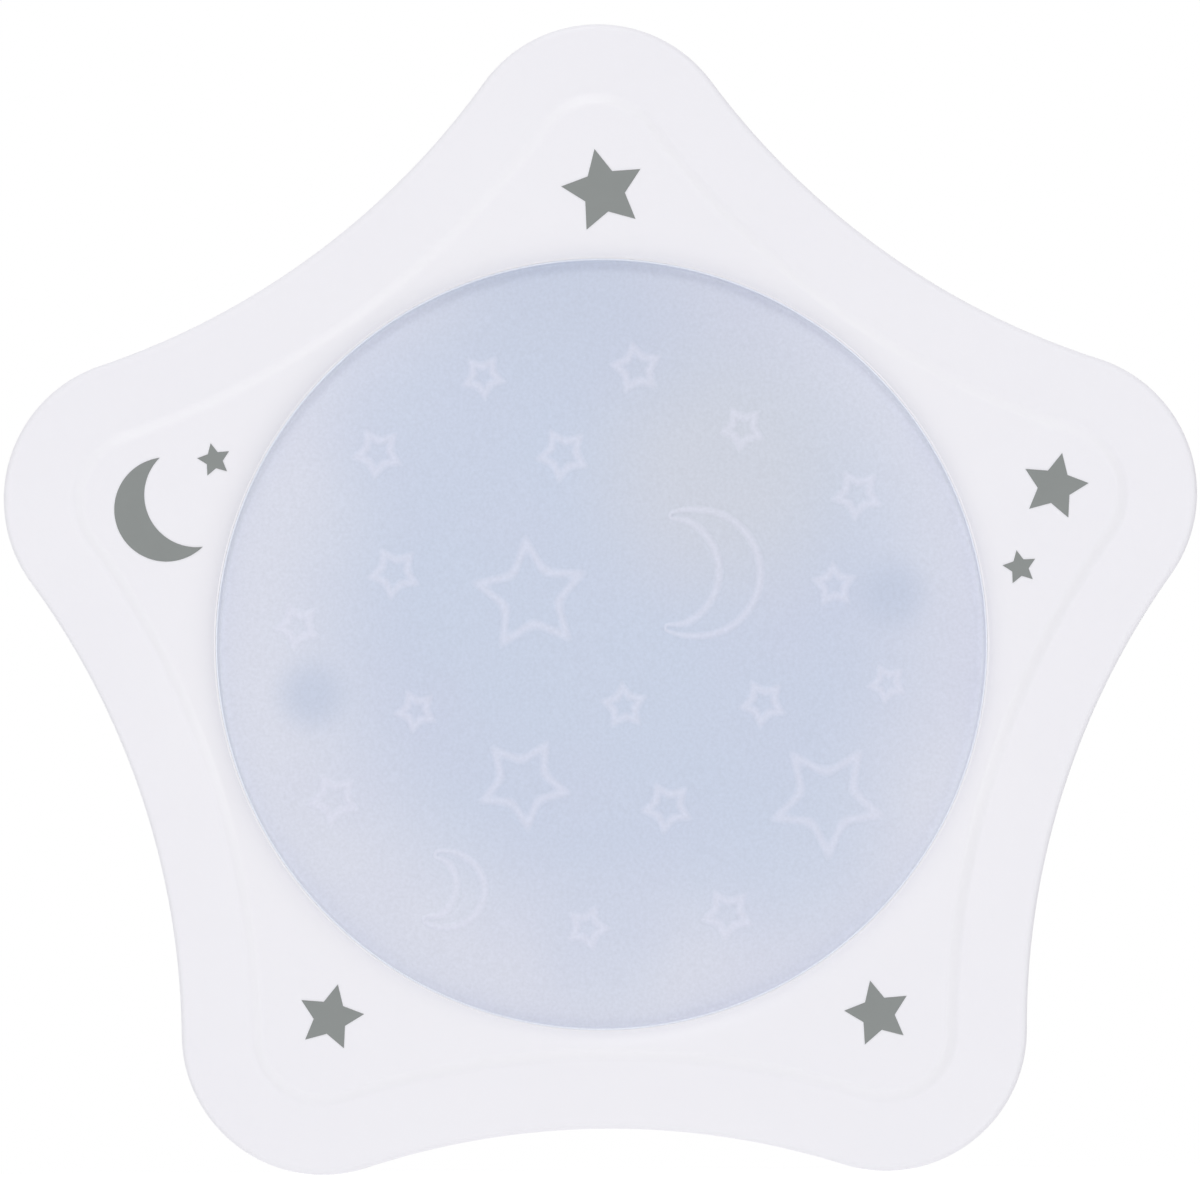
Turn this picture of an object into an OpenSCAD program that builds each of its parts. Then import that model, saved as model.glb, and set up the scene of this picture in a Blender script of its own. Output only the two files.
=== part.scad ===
// Plug-in night light: a star-shaped bezel with a round frosted lens, on a two-pin mains plug.
// Each sub-part is drawn in the face frame: X to the right, Y up and Z out of the wall, with Z = 0 at the
// plug's pin face, midway between the pins. stand() turns that frame upright, so the face looks along -Y.

/* [Bezel] */
// Radius of the lens opening
opening_r = 32.2; // [30:0.1:36]
// Least width of the plateau between its step and the lens opening
plateau_w = 1.4; // [1.3:0.1:4]
// Distance from the outline to the middle of the plateau's step
step_in = 6.2; // [5:0.1:8]
// Width of the plateau's step
step_w = 1.2; // [0.6:0.1:1.6]
// Height of the plateau above the outer band
plateau_rise = 0.5; // [0.4:0.1:1.2]
// Radius of the rolled edge round the opening
roll_r = 1.2; // [0.6:0.1:1.3]
// Radius of the rounded tips of the star
tip_r = 11.75; // [11:0.25:14]
// Radius of the hollow flanks between the tips
flank_r = 65; // [55:1:90]
// Radius of the bezel's outer edge
edge_r = 0.5; // [0.4:0.1:2]

/* [Housing] */
// Depth of the closed housing, from its back to the bezel's outer band
body_depth = 22; // [21.5:0.5:30]
// Depth of the rear cover that shows behind the front shell
rear_show = 11; // [10:0.5:14]
// Depth to which the rear cover nests inside the front shell
nest_depth = 4; // [2:0.5:5]
// Clearance between the nested walls
nest_gap = 0.4; // [0.3:0.05:0.6]
// Wall thickness of the front shell and the rear cover
wall = 2; // [1.6:0.1:2.2]
// Radius of the rear cover's back edge
back_r = 4; // [3:0.25:6]

/* [Lens] */
// Thickness of the lens
lens_t = 1.6; // [1.2:0.1:2]
// Clearance between the lens and its opening
lens_gap = 0.2; // [0.1:0.05:0.4]
// Depth of the lens's rim below the lip of the opening
lens_recess = 0.8; // [0.4:0.1:1.2]
// Height of the lens's dome above its rim
lens_dome = 1.4; // [0.6:0.1:1.8]
// Width of the flange behind the bezel
flange_w = 1.8; // [1.2:0.1:2.2]
// Thickness of that flange
flange_t = 1.5; // [1.2:0.1:2]
// Height of the raised stars and moons
relief_h = 0.2; // [0.15:0.05:0.6]
// Line width of the raised stars and moons
relief_w = 0.5; // [0.4:0.05:0.6]
// Diameter of the two screw posts behind the lens
post_d = 5.5; // [5:0.1:6]
// Distance from the opening's edge to the middle of each post
post_in = 7.7; // [7:0.1:9]
// Direction of the right-hand post, in degrees above the horizontal
post_angle = 9.5; // [0:0.5:30]

/* [Light source] */
// Depth of the reflector, from its rim to the board
reflector_depth = 6.9; // [6.5:0.1:8]
// Thickness of the reflector's sheet
reflector_t = 1.2; // [1:0.1:1.4]
// Thickness of the board
board_t = 1.6; // [1:0.1:1.6]
// Distance from the centre to each LED
led_reach = 12; // [9:0.5:16]
// Width, depth and height of an LED
led_size = [3.5, 2.8, 0.8];
// Clearance round each LED in the reflector's windows
led_gap = 0.6; // [0.4:0.1:1]
// Width of the reflector's two mounting ears
ear_w = 7; // [6:0.5:8]
// Thickness of the ears
ear_t = 1.5; // [1.2:0.1:2]
// Height of the ears above the board
ear_rise = 2; // [1.8:0.1:2.4]

/* [Screws] */
// Diameter of the housing screws
housing_screw_d = 2.9; // [2.6:0.1:3.2]
// Length of the housing screws under the head
housing_screw_l = 12; // [9:1:13]
// Diameter of the small screws
small_screw_d = 2.2; // [2:0.1:2.4]
// Length of the two lens screws under the head
lens_screw_l = 8; // [6:0.5:8]
// Length of the two reflector screws under the head
reflector_screw_l = 6; // [4:0.5:6]
// Radial clearance of a screw in its hole
screw_gap = 0.05; // [0.03:0.01:0.1]
// Wall round a screw's pilot hole
boss_wall = 1.75; // [1.4:0.05:2]
// Depth of the wells that hide the housing screws' heads
well_depth = 3.2; // [2.6:0.1:4]

/* [Plug] */
// Depth of the plug block behind the housing
plug_depth = 16; // [14:0.5:18]
// Width of the plug block
plug_w = 35.4; // [33:0.1:37]
// Height of the plug block
plug_h = 13.8; // [12:0.1:15]
// Size of the plug block's cut corners
plug_corner = 4.8; // [3:0.1:6]
// Clearance between the plug block and the rear cover
plug_gap = 0.15; // [0.1:0.05:0.3]
// Width and thickness of the flange that seats the plug block
plug_flange = 2; // [1.5:0.1:2.5]
// Distance between the two pins
pin_pitch = 19; // [17:0.5:20]
// Diameter of the bare end of a pin
pin_d = 4; // [3.5:0.1:4.8]
// Length of a pin outside the plug block
pin_l = 19; // [17:0.5:20]
// Length of the insulating sleeve on a pin
sleeve_l = 10; // [8:0.5:11]
// Diameter of the sleeve
sleeve_d = 3.6; // [3.4:0.1:3.6]
// Diameter of a pin inside its sleeve
core_d = 2.8; // [2.4:0.1:2.9]
// Diameter of the wires
wire_d = 1.4; // [1:0.1:1.8]

/* [Switch] */
// Travel of the slide switch
switch_travel = 2.5; // [2:0.1:3]
// Height of the switch's middle above the back of the housing
switch_rise = 6.8; // [6.4:0.1:7.4]
// Width of the knob
knob_w = 5; // [4:0.5:6]
// Height of the knob
knob_h = 3.4; // [3:0.1:4]
// How far the knob stands out of the rear cover
knob_out = 1.6; // [1:0.1:2]
// Thickness of the plate that holds the knob behind the wall
plate_t = 1.2; // [1:0.1:1.6]
// Clearance round the moving slider
slide_gap = 0.3; // [0.25:0.05:0.4]
// Width, depth and height of the switch
switch_size = [12, 3.6, 6];

/* [Hidden] */
$fn = 96;

// Star: the flanks' middles lie at the waist, and the tips are tangent to the flanks
arms = 5;
half_turn = 180/arms;
waist = opening_r + plateau_w + step_w/2 + step_in;
flank_c = waist + flank_r;
arm_reach = flank_c*cos(half_turn) - sqrt(pow(tip_r + flank_r, 2) - pow(flank_c*sin(half_turn), 2));
tip_half = atan2(flank_c*sin(half_turn), flank_c*cos(half_turn) - arm_reach);
flank_half = atan2(arm_reach*sin(half_turn), flank_c - arm_reach*cos(half_turn));
tip_steps = 8;
flank_steps = 6;
arc_steps = 4;
// The arms at left and right hold the reflector, and the others the rear cover
reflector_arms = [1, arms - 1];
housing_arms = [0, 2, arms - 2];

// Depths, from the plug's pin face
back_z = plug_depth;
floor_z = back_z + wall;
seam_z = back_z + rear_show;
nest_z = seam_z + nest_depth;
front_z = back_z + body_depth;
roof_z = front_z - wall;
plateau_z = front_z + plateau_rise;
lip_z = plateau_z - roll_r;
rim_z = lip_z - lens_recess;
flange_z = roof_z - flange_t;
board_top = flange_z - reflector_depth;
board_z = board_top - board_t;
base_top = board_top + reflector_t;
ear_z = board_top + ear_rise;
ear_top = ear_z + ear_t;
seat_z = back_z + well_depth;
well_top = seat_z + wall;
bury = 0.5;
part_gap = 0.6;

// Lens and reflector
lens_r = opening_r - lens_gap;
flange_r = opening_r + flange_w;
lens_steps = 12;
post_reach = opening_r - post_in;
small_head_d = 1.8*small_screw_d;
small_head_h = 0.7*small_screw_d;
ear_lip = 0.5;
ear_end_d = ear_w + 2*ear_lip;
dish_r = post_reach + post_d/2 + part_gap;
dish_rim_r = flange_r - reflector_t - part_gap;
board_r = post_reach + small_head_d/2 + 2*part_gap;

// Raised outlines on the lens: [across, up, tip radius, turn from tip-up]
relief_stars = [
    [-9.7, 22.4, 1.6, 40], [-18.55, 16.1, 1.9, 28], [-3.1, 15.85, 2, 27], [-17.25, 6.1, 2, 28], [-5.85, 4.1, 4.8, 5],
    [-25.35, 1.7, 1.7, 25], [3.1, 23, 2, 9], [11.9, 17.9, 1.7, 28], [21.45, 12.35, 1.9, 29], [19.45, 4.8, 1.6, 3],
    [-15.5, -5.45, 1.6, 25], [-6.6, -11.5, 3.8, 41], [-22.4, -12.75, 2, 28], [-1.35, -23.65, 1.6, 50],
    [1.85, -5.15, 1.7, 5], [13.45, -5, 1.8, 28], [23.85, -3.45, 1.5, 26], [18.75, -13.1, 4.8, 37],
    [5.4, -13.6, 2, 27], [10.35, -22.6, 2, 30]];
star_notch = 0.5;
// Raised moons: [across, up, outer radius, how far the inner circle lies to the left, its radius]
relief_moons = [[8.1, 5.9, 5.45, 3, 4.5], [-12.95, -20.4, 3.3, 2.2, 2.7]];

// Screws and their bosses
housing_head_d = 1.9*housing_screw_d;
housing_head_h = 0.7*housing_screw_d;
well_gap = 0.4;
well_d = housing_head_d + 2*well_gap;
boss_d = housing_screw_d + 2*boss_wall;
ear_boss_d = small_screw_d + 2*boss_wall;

// Plug and pins
plug_seat_top = floor_z + plug_flange;
seat_w = plug_w + 2*plug_flange;
seat_h = plug_h + 2*plug_flange;
rivet_d = 5;
rivet_t = 0.8;
solder_d = 1.6;
solder_l = 2;
solder_z = plug_seat_top + rivet_t + solder_l;
pad_out = 3.5;
pad_x = pin_pitch/2 + pad_out;
pad_up = 6;
tip_round = 1.2;
hook_w = 5;
hook_t = 1.6;
hook_lip = 1;

// Rear cover's wall and the switch behind it, on the underside
rear_inset = wall + nest_gap;
wall_out = waist - rear_inset;
floor_lap = 0.8;
pad_t = 0.8;
pad_y = -(wall_out - wall - pad_t);
plate_y = pad_y + slide_gap;
switch_y = plate_y + plate_t + slide_gap;
switch_back = switch_y + switch_size[1];
switch_z = back_z + switch_rise;
slot_w = knob_w + switch_travel + 2*slide_gap;
slot_h = knob_h + 2*slide_gap;
plate_lap = 1.2;
plate_w = slot_w + switch_travel + 3*plate_lap;
plate_h = slot_h + 2*plate_lap;
off_x = -switch_travel/2;
stem_w = 2.5;
stem_h = 2;
can_t = 0.5;
cradle_t = 1.4;
cradle_gap = 0.1;
cradle_w = switch_size[0] + 2*cradle_gap + 2*cradle_t;
terminal_size = [1.2, 2.5, 0.6];
terminal_pitch = 4;
notch_w = 2.5*terminal_pitch;
lead_run = 4.5;
lead_ease = 2.4;

// Parts on the back of the board, beside the plug's seat
row_y = seat_h/2 + plug_gap + hook_t + part_gap;
dropper_x = -9.5;
dropper_size = [13, 12, 6.5];
smoother_x = 4;
smoother_d = 6.3;
smoother_l = 11;
crimp = 0.4;
bridge_x = 3;
bridge_size = [4.7, 4, 1.6];
fuse_x = -12;
fuse_d = 3.2;
fuse_l = 9;
fuse_lead_d = 0.7;
fuse_lead_l = 1.5;
chip_x = 12;
chip_size = [3.2, 1.6, 0.6];
chip_pitch = 2*chip_size[1];

function ray(a) = [cos(a), sin(a)];
function arm_angle(k) = 90 + 360*k/arms;

// The outline as pairs of a point and its inward normal, tip by tip, anticlockwise
outline = [for (k = [0:arms - 1]) each concat(
    [for (i = [0:tip_steps - 1])
        let (a = arm_angle(k) - tip_half + 2*tip_half*i/tip_steps)
        [arm_reach*ray(arm_angle(k)) + tip_r*ray(a), -ray(a)]],
    [for (i = [0:flank_steps - 1])
        let (m = arm_angle(k) + half_turn, a = m + 180 + flank_half - 2*flank_half*i/flank_steps)
        [flank_c*ray(m) + flank_r*ray(a), ray(a)]])];
points_round = len(outline);

// A ring of points at one depth: a given distance inside the outline, or on a circle
function star_ring(inset, z) = [for (p = outline) let (q = p[0] + inset*p[1]) [q[0], q[1], z]];
function round_ring(r, z) = [for (p = outline) let (q = r*p[0]/norm(p[0])) [q[0], q[1], z]];

// The faces between each ring and the next
function band_faces(rings) = [for (j = [0:rings - 1]) for (i = [0:points_round - 1])
    let (here = j*points_round, next = ((j + 1) % rings)*points_round, k = (i + 1) % points_round)
    each [[here + i, next + k, here + k], [here + i, next + i, next + k]]];

module stand() rotate([90, 0, 0]) children();
module on_arm(k) rotate(arm_angle(k)) translate([arm_reach, 0, 0]) children();
module on_posts() for (a = [post_angle, post_angle + 180]) rotate(a) translate([post_reach, 0, 0]) children();
module tower(d, z0, z1) translate([0, 0, z0]) cylinder(d = d, h = z1 - z0);
module block(size, middle) translate(middle) cube(size, center = true);
module span(low, high) translate(low) cube(high - low);

// A wall closed on itself, through rings that go round its section
module ring_wall(rings) polyhedron([for (r = rings) each r], band_faces(len(rings)));

// A pan-head screw, with its head's underside at Z = 0 and a cross slot
module screw(d, l, head_d, head_h) difference() {
    union() {
        rotate_extrude() polygon([[0, 0], [d/2, 0], [d/2, l - d/2], [d/6, l], [0, l]]);
        rotate_extrude()
            polygon([[0, -head_h], [head_d/3, -head_h], [head_d/2, -0.4*head_h], [head_d/2, 0], [0, 0]]);
    }
    for (turn = [0, 90]) rotate(turn) block([0.6*head_d, 0.16*head_d, head_h], [0, 0, -head_h]);
}

// A wire along a smooth bend from p0 to p3 that leaves towards p1 and arrives from p2
wire_sides = 8;
wire_steps = 12;
function bend(p, t) = pow(1 - t, 3)*p[0] + 3*pow(1 - t, 2)*t*p[1] + 3*(1 - t)*t*t*p[2] + t*t*t*p[3];
function slope(p, t) = pow(1 - t, 2)*(p[1] - p[0]) + 2*(1 - t)*t*(p[2] - p[1]) + t*t*(p[3] - p[2]);
module wire(p) {
    side = cross(p[1] - p[0], p[3] - p[0])/norm(cross(p[1] - p[0], p[3] - p[0]));
    last = wire_steps*wire_sides;
    polyhedron([for (j = [0:wire_steps]) for (i = [0:wire_sides - 1])
        let (t = j/wire_steps, along = slope(p, t)/norm(slope(p, t)), a = 360*i/wire_sides)
        bend(p, t) + wire_d/2*(cos(a)*side + sin(a)*cross(along, side))],
        concat([for (j = [0:wire_steps - 1]) for (i = [0:wire_sides - 1])
            let (here = j*wire_sides, k = (i + 1) % wire_sides, next = here + wire_sides)
            each [[here + i, next + k, here + k], [here + i, next + i, next + k]]],
            [[for (i = [0:wire_sides - 1]) i], [for (i = [wire_sides - 1:-1:0]) last + i]]));
}

// Heights of the lens's outer face
function dome(r) = rim_z + lens_dome*(1 - pow(r/lens_r, 2));
function dome_line(r0, r1, rise) = [for (i = [0:lens_steps])
    let (r = r0 + (r1 - r0)*i/lens_steps) [r, dome(r) + rise]];

module star_shape(r, turn) rotate(90 + turn)
    polygon([for (i = [0:2*arms - 1]) (i % 2 == 0 ? r : star_notch*r)*ray(half_turn*i)]);

// The outline of a star, as wide as relief_w: every edge lies star_depth from the middle
module star_line(r, turn) {
    edge = sqrt(1 + pow(star_notch, 2) - 2*star_notch*cos(half_turn));
    star_depth = r*star_notch*sin(half_turn)/edge;
    difference() {
        star_shape(r, turn);
        star_shape(r*(1 - relief_w/star_depth), turn);
    }
}

// The outline of a crescent: its outer circle's arc and its inner circle's arc, each relief_w wide
module moon_line(r, shift, inner_r) {
    difference() {
        circle(r);
        circle(r - relief_w);
        translate([-shift, 0]) circle(inner_r);
    }
    intersection() {
        circle(r - relief_w/2);
        translate([-shift, 0]) difference() {
            circle(inner_r + relief_w);
            circle(inner_r);
        }
    }
}

module front_shell() color([0.94, 0.93, 0.95]) stand() difference() {
    union() {
        ring_wall(concat(
            [star_ring(0, seam_z)],
            [for (i = [0:arc_steps]) let (a = 90*i/arc_steps)
                star_ring(edge_r*(1 - cos(a)), front_z - edge_r*(1 - sin(a)))],
            [for (i = [0:arc_steps]) let (t = i/arc_steps)
                star_ring(step_in + step_w*(t - 0.5), front_z + plateau_rise*(1 - cos(180*t))/2)],
            [for (i = [0:arc_steps]) let (a = 90*i/arc_steps)
                round_ring(opening_r + roll_r*(1 - sin(a)), lip_z + roll_r*cos(a))],
            [round_ring(opening_r, roof_z), star_ring(wall, roof_z), star_ring(wall, seam_z)]));
        for (k = housing_arms) on_arm(k) tower(boss_d, well_top, roof_z + bury);
        for (k = reflector_arms) on_arm(k) tower(ear_boss_d, ear_top, roof_z + bury);
    }
    for (k = housing_arms) on_arm(k)
        tower(housing_screw_d + 2*screw_gap, well_top - bury, seat_z + housing_screw_l + part_gap);
    for (k = reflector_arms) on_arm(k)
        tower(small_screw_d + 2*screw_gap, ear_top - bury, ear_z + reflector_screw_l + part_gap);
}

module lens() color([0.79, 0.83, 0.9]) stand() difference() {
    union() {
        rotate_extrude() polygon(concat(
            dome_line(0, lens_r, 0),
            [[lens_r, roof_z], [flange_r, roof_z], [flange_r, flange_z], [lens_r - lens_t, flange_z]],
            dome_line(lens_r - lens_t, 0, -lens_t)));
        intersection() {
            rotate_extrude() polygon(concat(dome_line(0, lens_r, relief_h), dome_line(lens_r, 0, -lens_t/2)));
            translate([0, 0, flange_z]) linear_extrude(plateau_z - flange_z + lens_dome) {
                for (s = relief_stars) translate([s[0], s[1]]) star_line(s[2], s[3]);
                for (m = relief_moons) translate([m[0], m[1]]) moon_line(m[2], m[3], m[4]);
            }
        }
        on_posts() tower(post_d, base_top, dome(post_reach) - lens_t/2);
    }
    on_posts() tower(small_screw_d + 2*screw_gap, base_top - bury, board_z + lens_screw_l + part_gap);
}

module reflector() color([0.97, 0.97, 0.97]) stand() difference() {
    union() {
        rotate_extrude() polygon([[0, board_top], [dish_r + reflector_t, board_top],
            [dish_rim_r + reflector_t, ear_top], [dish_rim_r + reflector_t, flange_z], [0, flange_z]]);
        for (k = reflector_arms) rotate(arm_angle(k)) translate([0, 0, ear_z]) {
            translate([dish_r, -ear_w/2, 0]) cube([arm_reach - dish_r, ear_w, ear_t]);
            translate([arm_reach, 0, 0]) cylinder(d = ear_end_d, h = ear_t);
        }
    }
    rotate_extrude() polygon([[0, base_top], [dish_r, base_top], [dish_rim_r, ear_top],
        [dish_rim_r, flange_z + bury], [0, flange_z + bury]]);
    for (turn = [45:90:315]) rotate(turn)
        block([led_size[0] + 2*led_gap, led_size[1] + 2*led_gap, 4*reflector_t], [led_reach, 0, board_top]);
    on_posts() tower(small_screw_d + 2*screw_gap, board_top - bury, base_top + bury);
    for (k = reflector_arms) on_arm(k) tower(small_screw_d + 2*screw_gap, ear_z - bury, ear_top + bury);
}

module led_board() color([0.92, 0.93, 0.9]) stand() difference() {
    tower(2*board_r, board_z, board_top);
    on_posts() tower(small_screw_d + 2*screw_gap, board_z - bury, board_top + bury);
}

module leds() color([0.98, 0.85, 0.4]) stand() for (turn = [45:90:315])
    rotate(turn) translate([led_reach, 0, board_top]) difference() {
        block(led_size, [0, 0, led_size[2]/2]);
        tower(0.7*led_size[1], 0.7*led_size[2], led_size[2] + bury);
    }

module rear_cover() color([0.93, 0.93, 0.94]) stand() difference() {
    inner_r = back_r - wall;
    floor_inset = rear_inset + back_r;
    union() {
        ring_wall(concat(
            [for (i = [0:arc_steps]) let (a = 90*i/arc_steps)
                star_ring(rear_inset + back_r*(1 - sin(a)), back_z + back_r*(1 - cos(a)))],
            [star_ring(rear_inset, nest_z), star_ring(rear_inset + wall, nest_z)],
            [for (i = [0:arc_steps]) let (a = 90*i/arc_steps)
                star_ring(rear_inset + wall + inner_r*(1 - cos(a)), floor_z + inner_r*(1 - sin(a)))],
            [star_ring(floor_inset + floor_lap, floor_z), star_ring(floor_inset + floor_lap, back_z)]));
        translate([0, 0, back_z]) linear_extrude(wall)
            polygon([for (p = star_ring(floor_inset + floor_lap/2, 0)) [p[0], p[1]]]);
        for (k = housing_arms) on_arm(k) tower(well_d + 2*boss_wall, back_z + wall/2, well_top);
        span([-plate_w/2 - pad_t, pad_y - pad_t - wall/2, floor_z - bury],
            [plate_w/2 + pad_t, pad_y, switch_z + plate_h/2 + pad_t]);
        span([-cradle_w/2, switch_y, floor_z - bury],
            [cradle_w/2, switch_back + cradle_t, switch_z + switch_size[2]/4]);
        plug_hooks();
    }
    translate([0, 0, back_z - bury]) linear_extrude(wall + 2*bury)
        plug_outline(plug_w + 2*plug_gap, plug_h + 2*plug_gap, plug_corner);
    for (k = housing_arms) on_arm(k) {
        tower(well_d, back_z - bury, seat_z);
        tower(housing_screw_d + 2*screw_gap, seat_z - bury, well_top + bury);
    }
    block([slot_w, 4*wall, slot_h], [0, -wall_out, switch_z]);
    span([-switch_size[0]/2 - cradle_gap, switch_y - bury, switch_z - switch_size[2]/2],
        [switch_size[0]/2 + cradle_gap, switch_back, switch_z + switch_size[2]]);
    span([-notch_w/2, switch_back - bury, switch_z - terminal_pitch/2],
        [notch_w/2, switch_back + 2*cradle_t, switch_z + switch_size[2]]);
}

// Four hooks that hold down the plug block's flange
module plug_hooks() for (sx = [-1, 1], sy = [0, 1])
    mirror([0, sy, 0]) translate([sx*pin_pitch/2, seat_h/2, 0]) {
        span([-hook_w/2, plug_gap, floor_z - bury], [hook_w/2, plug_gap + hook_t, plug_seat_top + hook_t]);
        span([-hook_w/2, -hook_lip, plug_seat_top], [hook_w/2, plug_gap + hook_t, plug_seat_top + hook_t]);
    }

module plug_outline(w, h, c) polygon([
    [w/2 - c, -h/2], [w/2, c - h/2], [w/2, h/2 - c], [w/2 - c, h/2],
    [c - w/2, h/2], [-w/2, h/2 - c], [-w/2, c - h/2], [c - w/2, -h/2]]);

module plug_body() color([0.92, 0.92, 0.93]) stand() difference() {
    union() {
        linear_extrude(floor_z) plug_outline(plug_w, plug_h, plug_corner);
        translate([0, 0, floor_z]) linear_extrude(plug_flange) plug_outline(seat_w, seat_h, plug_corner);
    }
    for (side = [-1, 1]) translate([side*pin_pitch/2, 0, 0])
        tower(core_d + 2*screw_gap, -bury, plug_seat_top + bury);
}

// A pin with a rounded end, a thin core under its sleeve, a rivet head and a solder post
module pin(side) color([0.86, 0.72, 0.42]) stand() translate([side*pin_pitch/2, 0, 0]) rotate_extrude()
    polygon(concat(
        [[0, -pin_l]],
        [for (i = [0:arc_steps]) let (a = 90*i/arc_steps)
            [pin_d/2 - tip_round*(1 - sin(a)), -pin_l + tip_round*(1 - cos(a))]],
        [[pin_d/2, -sleeve_l], [core_d/2, -sleeve_l], [core_d/2, plug_seat_top], [rivet_d/2, plug_seat_top],
            [rivet_d/2, plug_seat_top + rivet_t], [solder_d/2, plug_seat_top + rivet_t],
            [solder_d/2, solder_z], [0, solder_z]]));
module live_pin() pin(1);
module neutral_pin() pin(-1);

module pin_sleeves() color([0.2, 0.2, 0.21]) stand() for (side = [-1, 1]) translate([side*pin_pitch/2, 0, 0])
    difference() {
        tower(sleeve_d, -sleeve_l, 0);
        tower(core_d + 2*screw_gap, -sleeve_l - bury, bury);
    }

// From a pin's solder post to its pad on the board
module pin_wire(side) {
    start = [side*pin_pitch/2, 0, solder_z];
    end = [side*pad_x, pad_up, board_z];
    ease = [0, 0, (board_z - solder_z)/2];
    wire([start, start + ease, end - ease, end]);
}
module live_wire() color([0.5, 0.28, 0.16]) stand() pin_wire(1);
module neutral_wire() color([0.2, 0.36, 0.7]) stand() pin_wire(-1);

module dropper_capacitor() color([0.95, 0.78, 0.2]) stand()
    block(dropper_size, [dropper_x, row_y + dropper_size[1]/2, board_z - dropper_size[2]/2]);

module smoothing_capacitor() color([0.16, 0.17, 0.2]) stand()
    translate([smoother_x, row_y + smoother_d/2, board_z - smoother_d/2]) rotate([0, 90, 0]) rotate_extrude()
        polygon([[0, 0], [smoother_d/2, 0], [smoother_d/2, 3*crimp], [smoother_d/2 - crimp, 4*crimp],
            [smoother_d/2 - crimp, 5*crimp], [smoother_d/2, 6*crimp], [smoother_d/2, smoother_l],
            [0, smoother_l]]);

module bridge_rectifier() color([0.13, 0.13, 0.14]) stand()
    block(bridge_size, [bridge_x, -row_y - bridge_size[1]/2, board_z - bridge_size[2]/2]);

module fusible_resistor() color([0.35, 0.55, 0.6]) stand()
    translate([fuse_x, -row_y - fuse_d/2, board_z - fuse_d/2 - part_gap]) {
        rotate([0, 90, 0]) cylinder(d = fuse_d, h = fuse_l, center = true);
        rotate([0, 90, 0]) cylinder(d = fuse_lead_d, h = fuse_l + 2*fuse_lead_l, center = true);
        for (side = [-1, 1]) translate([side*(fuse_l/2 + fuse_lead_l - fuse_lead_d), 0, 0])
            tower(1.4*fuse_lead_d, 0, fuse_d/2 + part_gap);
    }

module resistors() color([0.1, 0.1, 0.1]) stand() for (i = [0, 1])
    block(chip_size, [chip_x, -row_y - chip_size[1]/2 - i*chip_pitch, board_z - chip_size[2]/2]);

module switch_body() color([0.72, 0.73, 0.75]) stand() difference() {
    middle_y = switch_y + switch_size[1]/2;
    block(switch_size, [0, middle_y, switch_z]);
    block(switch_size - 2*can_t*[1, 1, 1], [0, middle_y, switch_z]);
    block([stem_w + switch_travel + 2*slide_gap, 4*can_t, stem_h + 2*slide_gap], [0, switch_y, switch_z]);
}

module switch_terminals() color([0.8, 0.8, 0.78]) stand() for (i = [-1:1])
    block(terminal_size, [i*terminal_pitch, switch_back + terminal_size[1]/2, switch_z]);

module switch_leads() color([0.75, 0.15, 0.12]) stand() for (i = [0, 1]) {
    start = [i*terminal_pitch, switch_back + terminal_size[1], switch_z];
    end = [i*terminal_pitch, start[1] + lead_run, board_z];
    wire([start, start + [0, lead_ease, 0], end - [0, 0, (board_z - switch_z)/2], end]);
}

// The switch's own slider, with a stem that reaches into the knob's plate
module switch_actuator() color([0.15, 0.15, 0.16]) stand() translate([off_x, 0, switch_z]) {
    inside_y = switch_y + can_t + slide_gap;
    span([-stem_w/2, plate_y + plate_t/3, -stem_h/2], [stem_w/2, inside_y + bury, stem_h/2]);
    span([-stem_w, inside_y, -stem_h], [stem_w, inside_y + switch_size[1]/3, stem_h]);
}

// The knob, with grip grooves, on the plate that slides behind the wall
module switch_knob() color([0.9, 0.9, 0.92]) stand() translate([off_x, 0, switch_z]) difference() {
    union() {
        span([-plate_w/2, plate_y, -plate_h/2], [plate_w/2, plate_y + plate_t, plate_h/2]);
        span([-knob_w/2, -wall_out - knob_out, -knob_h/2], [knob_w/2, plate_y + plate_t/2, knob_h/2]);
    }
    for (i = [-1:1]) block([knob_w/8, knob_w/8, knob_h + 1], [i*knob_w/4, -wall_out - knob_out, 0]);
    span([-stem_w/2 - cradle_gap, plate_y + plate_t/3 - cradle_gap, -stem_h/2 - cradle_gap],
        [stem_w/2 + cradle_gap, plate_y + 2*plate_t, stem_h/2 + cradle_gap]);
}

module lens_screws() color([0.75, 0.76, 0.78]) stand() on_posts() translate([0, 0, board_z])
    screw(small_screw_d, lens_screw_l, small_head_d, small_head_h);

module reflector_screws() color([0.75, 0.76, 0.78]) stand() for (k = reflector_arms) on_arm(k)
    translate([0, 0, ear_z]) screw(small_screw_d, reflector_screw_l, small_head_d, small_head_h);

module housing_screws() color([0.75, 0.76, 0.78]) stand() for (k = housing_arms) on_arm(k)
    translate([0, 0, seat_z]) screw(housing_screw_d, housing_screw_l, housing_head_d, housing_head_h);

front_shell();
lens();
reflector();
led_board();
leds();
rear_cover();
plug_body();
live_pin();
neutral_pin();
pin_sleeves();
live_wire();
neutral_wire();
dropper_capacitor();
smoothing_capacitor();
bridge_rectifier();
fusible_resistor();
resistors();
switch_body();
switch_terminals();
switch_leads();
switch_actuator();
switch_knob();
lens_screws();
reflector_screws();
housing_screws();
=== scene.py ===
# Plug-in night light: a white star with a round frosted lens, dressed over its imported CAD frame.
# Shapes are worked out in mm in the face frame (x right, y up, z out of the wall), then stood upright.
import bmesh
import bpy
import numpy as np
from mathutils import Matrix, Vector
from mathutils.geometry import tessellate_polygon


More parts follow.
